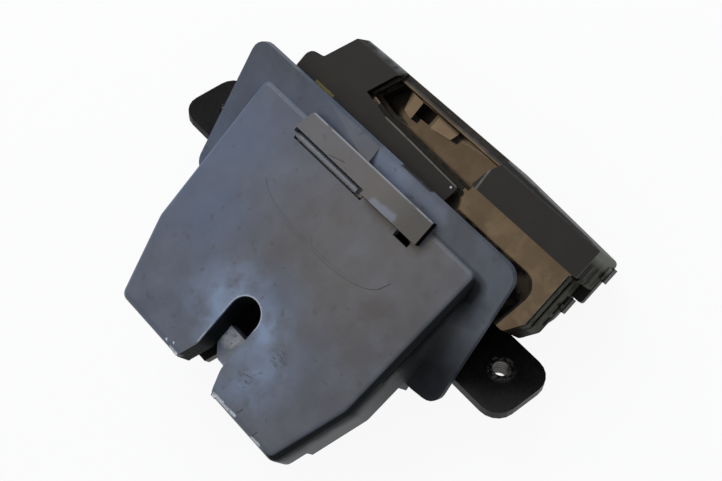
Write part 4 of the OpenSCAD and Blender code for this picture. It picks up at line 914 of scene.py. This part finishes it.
class LOCK_OT_threads(bpy.types.Operator):
    """Cuts the turns of thread into the holes of both ears"""
    bl_idname = "lock.make_threads"
    bl_label = "Make Ear Threads"

    def execute(self, context):
        look = context.scene.lock_metal
        tree = bpy.data.node_groups.new("ear_threads", "GeometryNodeTree")
        ports = {}
        for name, kind in (("Turns", "NodeSocketInt"), ("Pitch", "NodeSocketFloat"),
                           ("Radius", "NodeSocketFloat")):
            ports[name] = tree.interface.new_socket(name, in_out="INPUT", socket_type=kind)
        tree.interface.new_socket("Geometry", in_out="OUTPUT", socket_type="NodeSocketGeometry")
        given = add(tree, "NodeGroupInput").outputs
        ring = add(tree, "GeometryNodeCurvePrimitiveCircle",
                   {"Resolution": TURN_STEPS, "Radius": given["Radius"]}, mode="RADIUS")
        crest = add(tree, "GeometryNodeCurvePrimitiveCircle",
                    {"Resolution": CREST_STEPS, "Radius": CREST_R * MM}, mode="RADIUS")
        ridge = add(tree, "GeometryNodeCurveToMesh", {
            "Curve": ring.outputs["Curve"], "Profile Curve": crest.outputs["Curve"]})
        step = add(tree, "ShaderNodeCombineXYZ", {"Z": given["Pitch"]})
        row = add(tree, "GeometryNodeMeshLine",
                  {"Count": given["Turns"], "Offset": step.outputs[0]})
        stack = add(tree, "GeometryNodeInstanceOnPoints", {
            "Points": row.outputs[0], "Instance": ridge.outputs[0]})
        tilt = math.radians(-EAR_TILT)
        low = Matrix.Rotation(tilt, 3, "X") @ Vector((0, 0, -THREAD_BACK * MM))
        ears = add(tree, "GeometryNodeJoinGeometry")
        for side in (-1, 1):
            at = Vector((side * EAR_X * MM, 0, EAR_HOLE_Z * MM)) + low
            placed = add(tree, "GeometryNodeTransform", {
                "Geometry": stack.outputs[0], "Translation": at, "Rotation": (tilt, 0, 0)})
            tree.links.new(placed.outputs[0], ears.inputs[0])
        real = add(tree, "GeometryNodeRealizeInstances", {0: ears.outputs[0]})
        steel_look = steel("cut thread, bare steel", "#8d8b87", 0.3)
        coloured = add(tree, "GeometryNodeSetMaterial",
                       {"Geometry": real.outputs[0], "Material": steel_look})
        add(tree, "NodeGroupOutput", {0: coloured.outputs[0]})
        obj = bpy.data.objects.new("ear_threads", bpy.data.meshes.new("ear_threads"))
        context.scene.collection.objects.link(obj)
        modifier = obj.modifiers.new("threads", "NODES")
        modifier.node_group = tree
        modifier[ports["Turns"].identifier] = look.thread_turns
        modifier[ports["Pitch"].identifier] = look.thread_pitch
        modifier[ports["Radius"].identifier] = look.thread_r + CREST_OUT * MM
        baked(obj, "lock_body")
        return {"FINISHED"}


def soft_lamp(name, at, aim, size, power, colour):
    """A rectangular soft lamp at a place, aimed at a point."""
    data = bpy.data.lights.new(name, "AREA")
    data.shape = "RECTANGLE"
    data.size, data.size_y = size
    data.energy = power
    data.color = linear(colour)
    lamp = bpy.data.objects.new(name, data)
    bpy.context.scene.collection.objects.link(lamp)
    lamp.location = at
    lamp.rotation_euler = (Vector(aim) - Vector(at)).to_track_quat("-Z", "Y").to_euler()
    return lamp


def seen_mask(tree):
    """1 for camera, glossy and transmission rays, which see the plain background."""
    path = add(tree, "ShaderNodeLightPath")
    return either(tree, *(path.outputs[name] for name in
                          ("Is Camera Ray", "Is Glossy Ray", "Is Transmission Ray")))


def make_floor(scene, look):
    """A plain pale floor that the camera sees almost white."""
    half = look.floor_w / 2
    mesh = bpy.data.meshes.new("floor")
    mesh.from_pydata([(-half, -half, 0), (half, -half, 0), (half, half, 0), (-half, half, 0)],
                     [], [(0, 1, 2, 3)])
    floor = bpy.data.objects.new("floor", mesh)
    scene.collection.objects.link(floor)
    material = bpy.data.materials.new("plain pale floor")
    material.use_nodes = True
    tree = material.node_tree
    tree.nodes.clear()
    matt = add(tree, "ShaderNodeBsdfDiffuse", {"Color": rgba(look.floor)})
    white = add(tree, "ShaderNodeEmission", {"Color": (1, 1, 1, 1), "Strength": 1.0})
    mix = add(tree, "ShaderNodeMixShader", {
        0: both(tree, seen_mask(tree), FLOOR_WHITE), 1: matt.outputs[0], 2: white.outputs[0]})
    add(tree, "ShaderNodeOutputMaterial", {"Surface": mix.outputs[0]})
    mesh.materials.append(material)


def make_world(scene, look):
    """Even light from all round, seen as plain white."""
    world = bpy.data.worlds.new("plain white surround")
    world.use_nodes = True
    tree = world.node_tree
    tree.nodes.clear()
    even = add(tree, "ShaderNodeBackground", {"Color": rgba("#eef2fa"), "Strength": look.ambient})
    seen = add(tree, "ShaderNodeBackground", {"Color": (1, 1, 1, 1), "Strength": 1.0})
    mix = add(tree, "ShaderNodeMixShader",
              {0: seen_mask(tree), 1: even.outputs[0], 2: seen.outputs[0]})
    add(tree, "ShaderNodeOutputWorld", {"Surface": mix.outputs[0]})
    scene.world = world


def make_camera(scene):
    """The camera fitted to the photograph."""
    data = bpy.data.cameras.new("photo_camera")
    data.sensor_fit = "HORIZONTAL"
    data.sensor_width = SENSOR_W
    data.lens = SENSOR_W * FOCAL_PX / PHOTO_W
    data.clip_start, data.clip_end = 0.01, 20.0
    camera = bpy.data.objects.new("photo_camera", data)
    scene.collection.objects.link(camera)
    turn = Matrix((CAMERA_RIGHT, -Vector(CAMERA_DOWN), -Vector(CAMERA_FORWARD))).transposed()
    camera.matrix_world = Matrix.Translation(Vector(CAMERA_AT) * MM) @ turn.to_4x4()
    scene.camera = camera


class LOCK_OT_stage(bpy.types.Operator):
    """Sets the floor, the light and the photograph's camera"""
    bl_idname = "lock.make_stage"
    bl_label = "Make Stage"

    def execute(self, context):
        scene, look = context.scene, context.scene.lock_stage
        scene.view_settings.view_transform = "Standard"
        make_floor(scene, look)
        make_world(scene, look)
        soft_lamp("key", KEY_AT, (0, 0, 0), KEY_SIZE, look.key_w, "#eef3ff")
        card = soft_lamp("warm_card", CARD_AT, CARD_AIM, CARD_SIZE, look.card_w, "#ffbf48")
        # The card is there for the gloss to mirror; it lights no matt face
        card.visible_diffuse = False
        make_camera(scene)
        return {"FINISHED"}


OPERATORS = (LOCK_OT_cover, LOCK_OT_housing, LOCK_OT_metals, LOCK_OT_small_parts,
             LOCK_OT_threads, LOCK_OT_stage)


class LOCK_PT_panel(bpy.types.Panel):
    bl_label = "Boot Lid Lock"
    bl_space_type = "VIEW_3D"
    bl_region_type = "UI"
    bl_category = "Lock"

    def draw(self, context):
        for operator in OPERATORS:
            self.layout.operator(operator.bl_idname)
        for group in ("lock_cover", "lock_housing", "lock_metal", "lock_stage"):
            holder = getattr(context.scene, group)
            for name in holder.__annotations__:
                self.layout.prop(holder, name)


GROUPS = {"lock_cover": CoverLook, "lock_housing": HousingLook, "lock_metal": MetalLook,
          "lock_stage": StageLook}
CLASSES = (*GROUPS.values(), *OPERATORS, LOCK_PT_panel)


def register():
    for cls in CLASSES:
        bpy.utils.register_class(cls)
    for name, cls in GROUPS.items():
        setattr(bpy.types.Scene, name, PointerProperty(type=cls))


def unregister():
    for name in GROUPS:
        delattr(bpy.types.Scene, name)
    for cls in reversed(CLASSES):
        bpy.utils.unregister_class(cls)


def main():
    register()
    for operator in OPERATORS:
        group, name = operator.bl_idname.split(".")
        getattr(getattr(bpy.ops, group), name)()


if __name__ == "__main__":
    main()
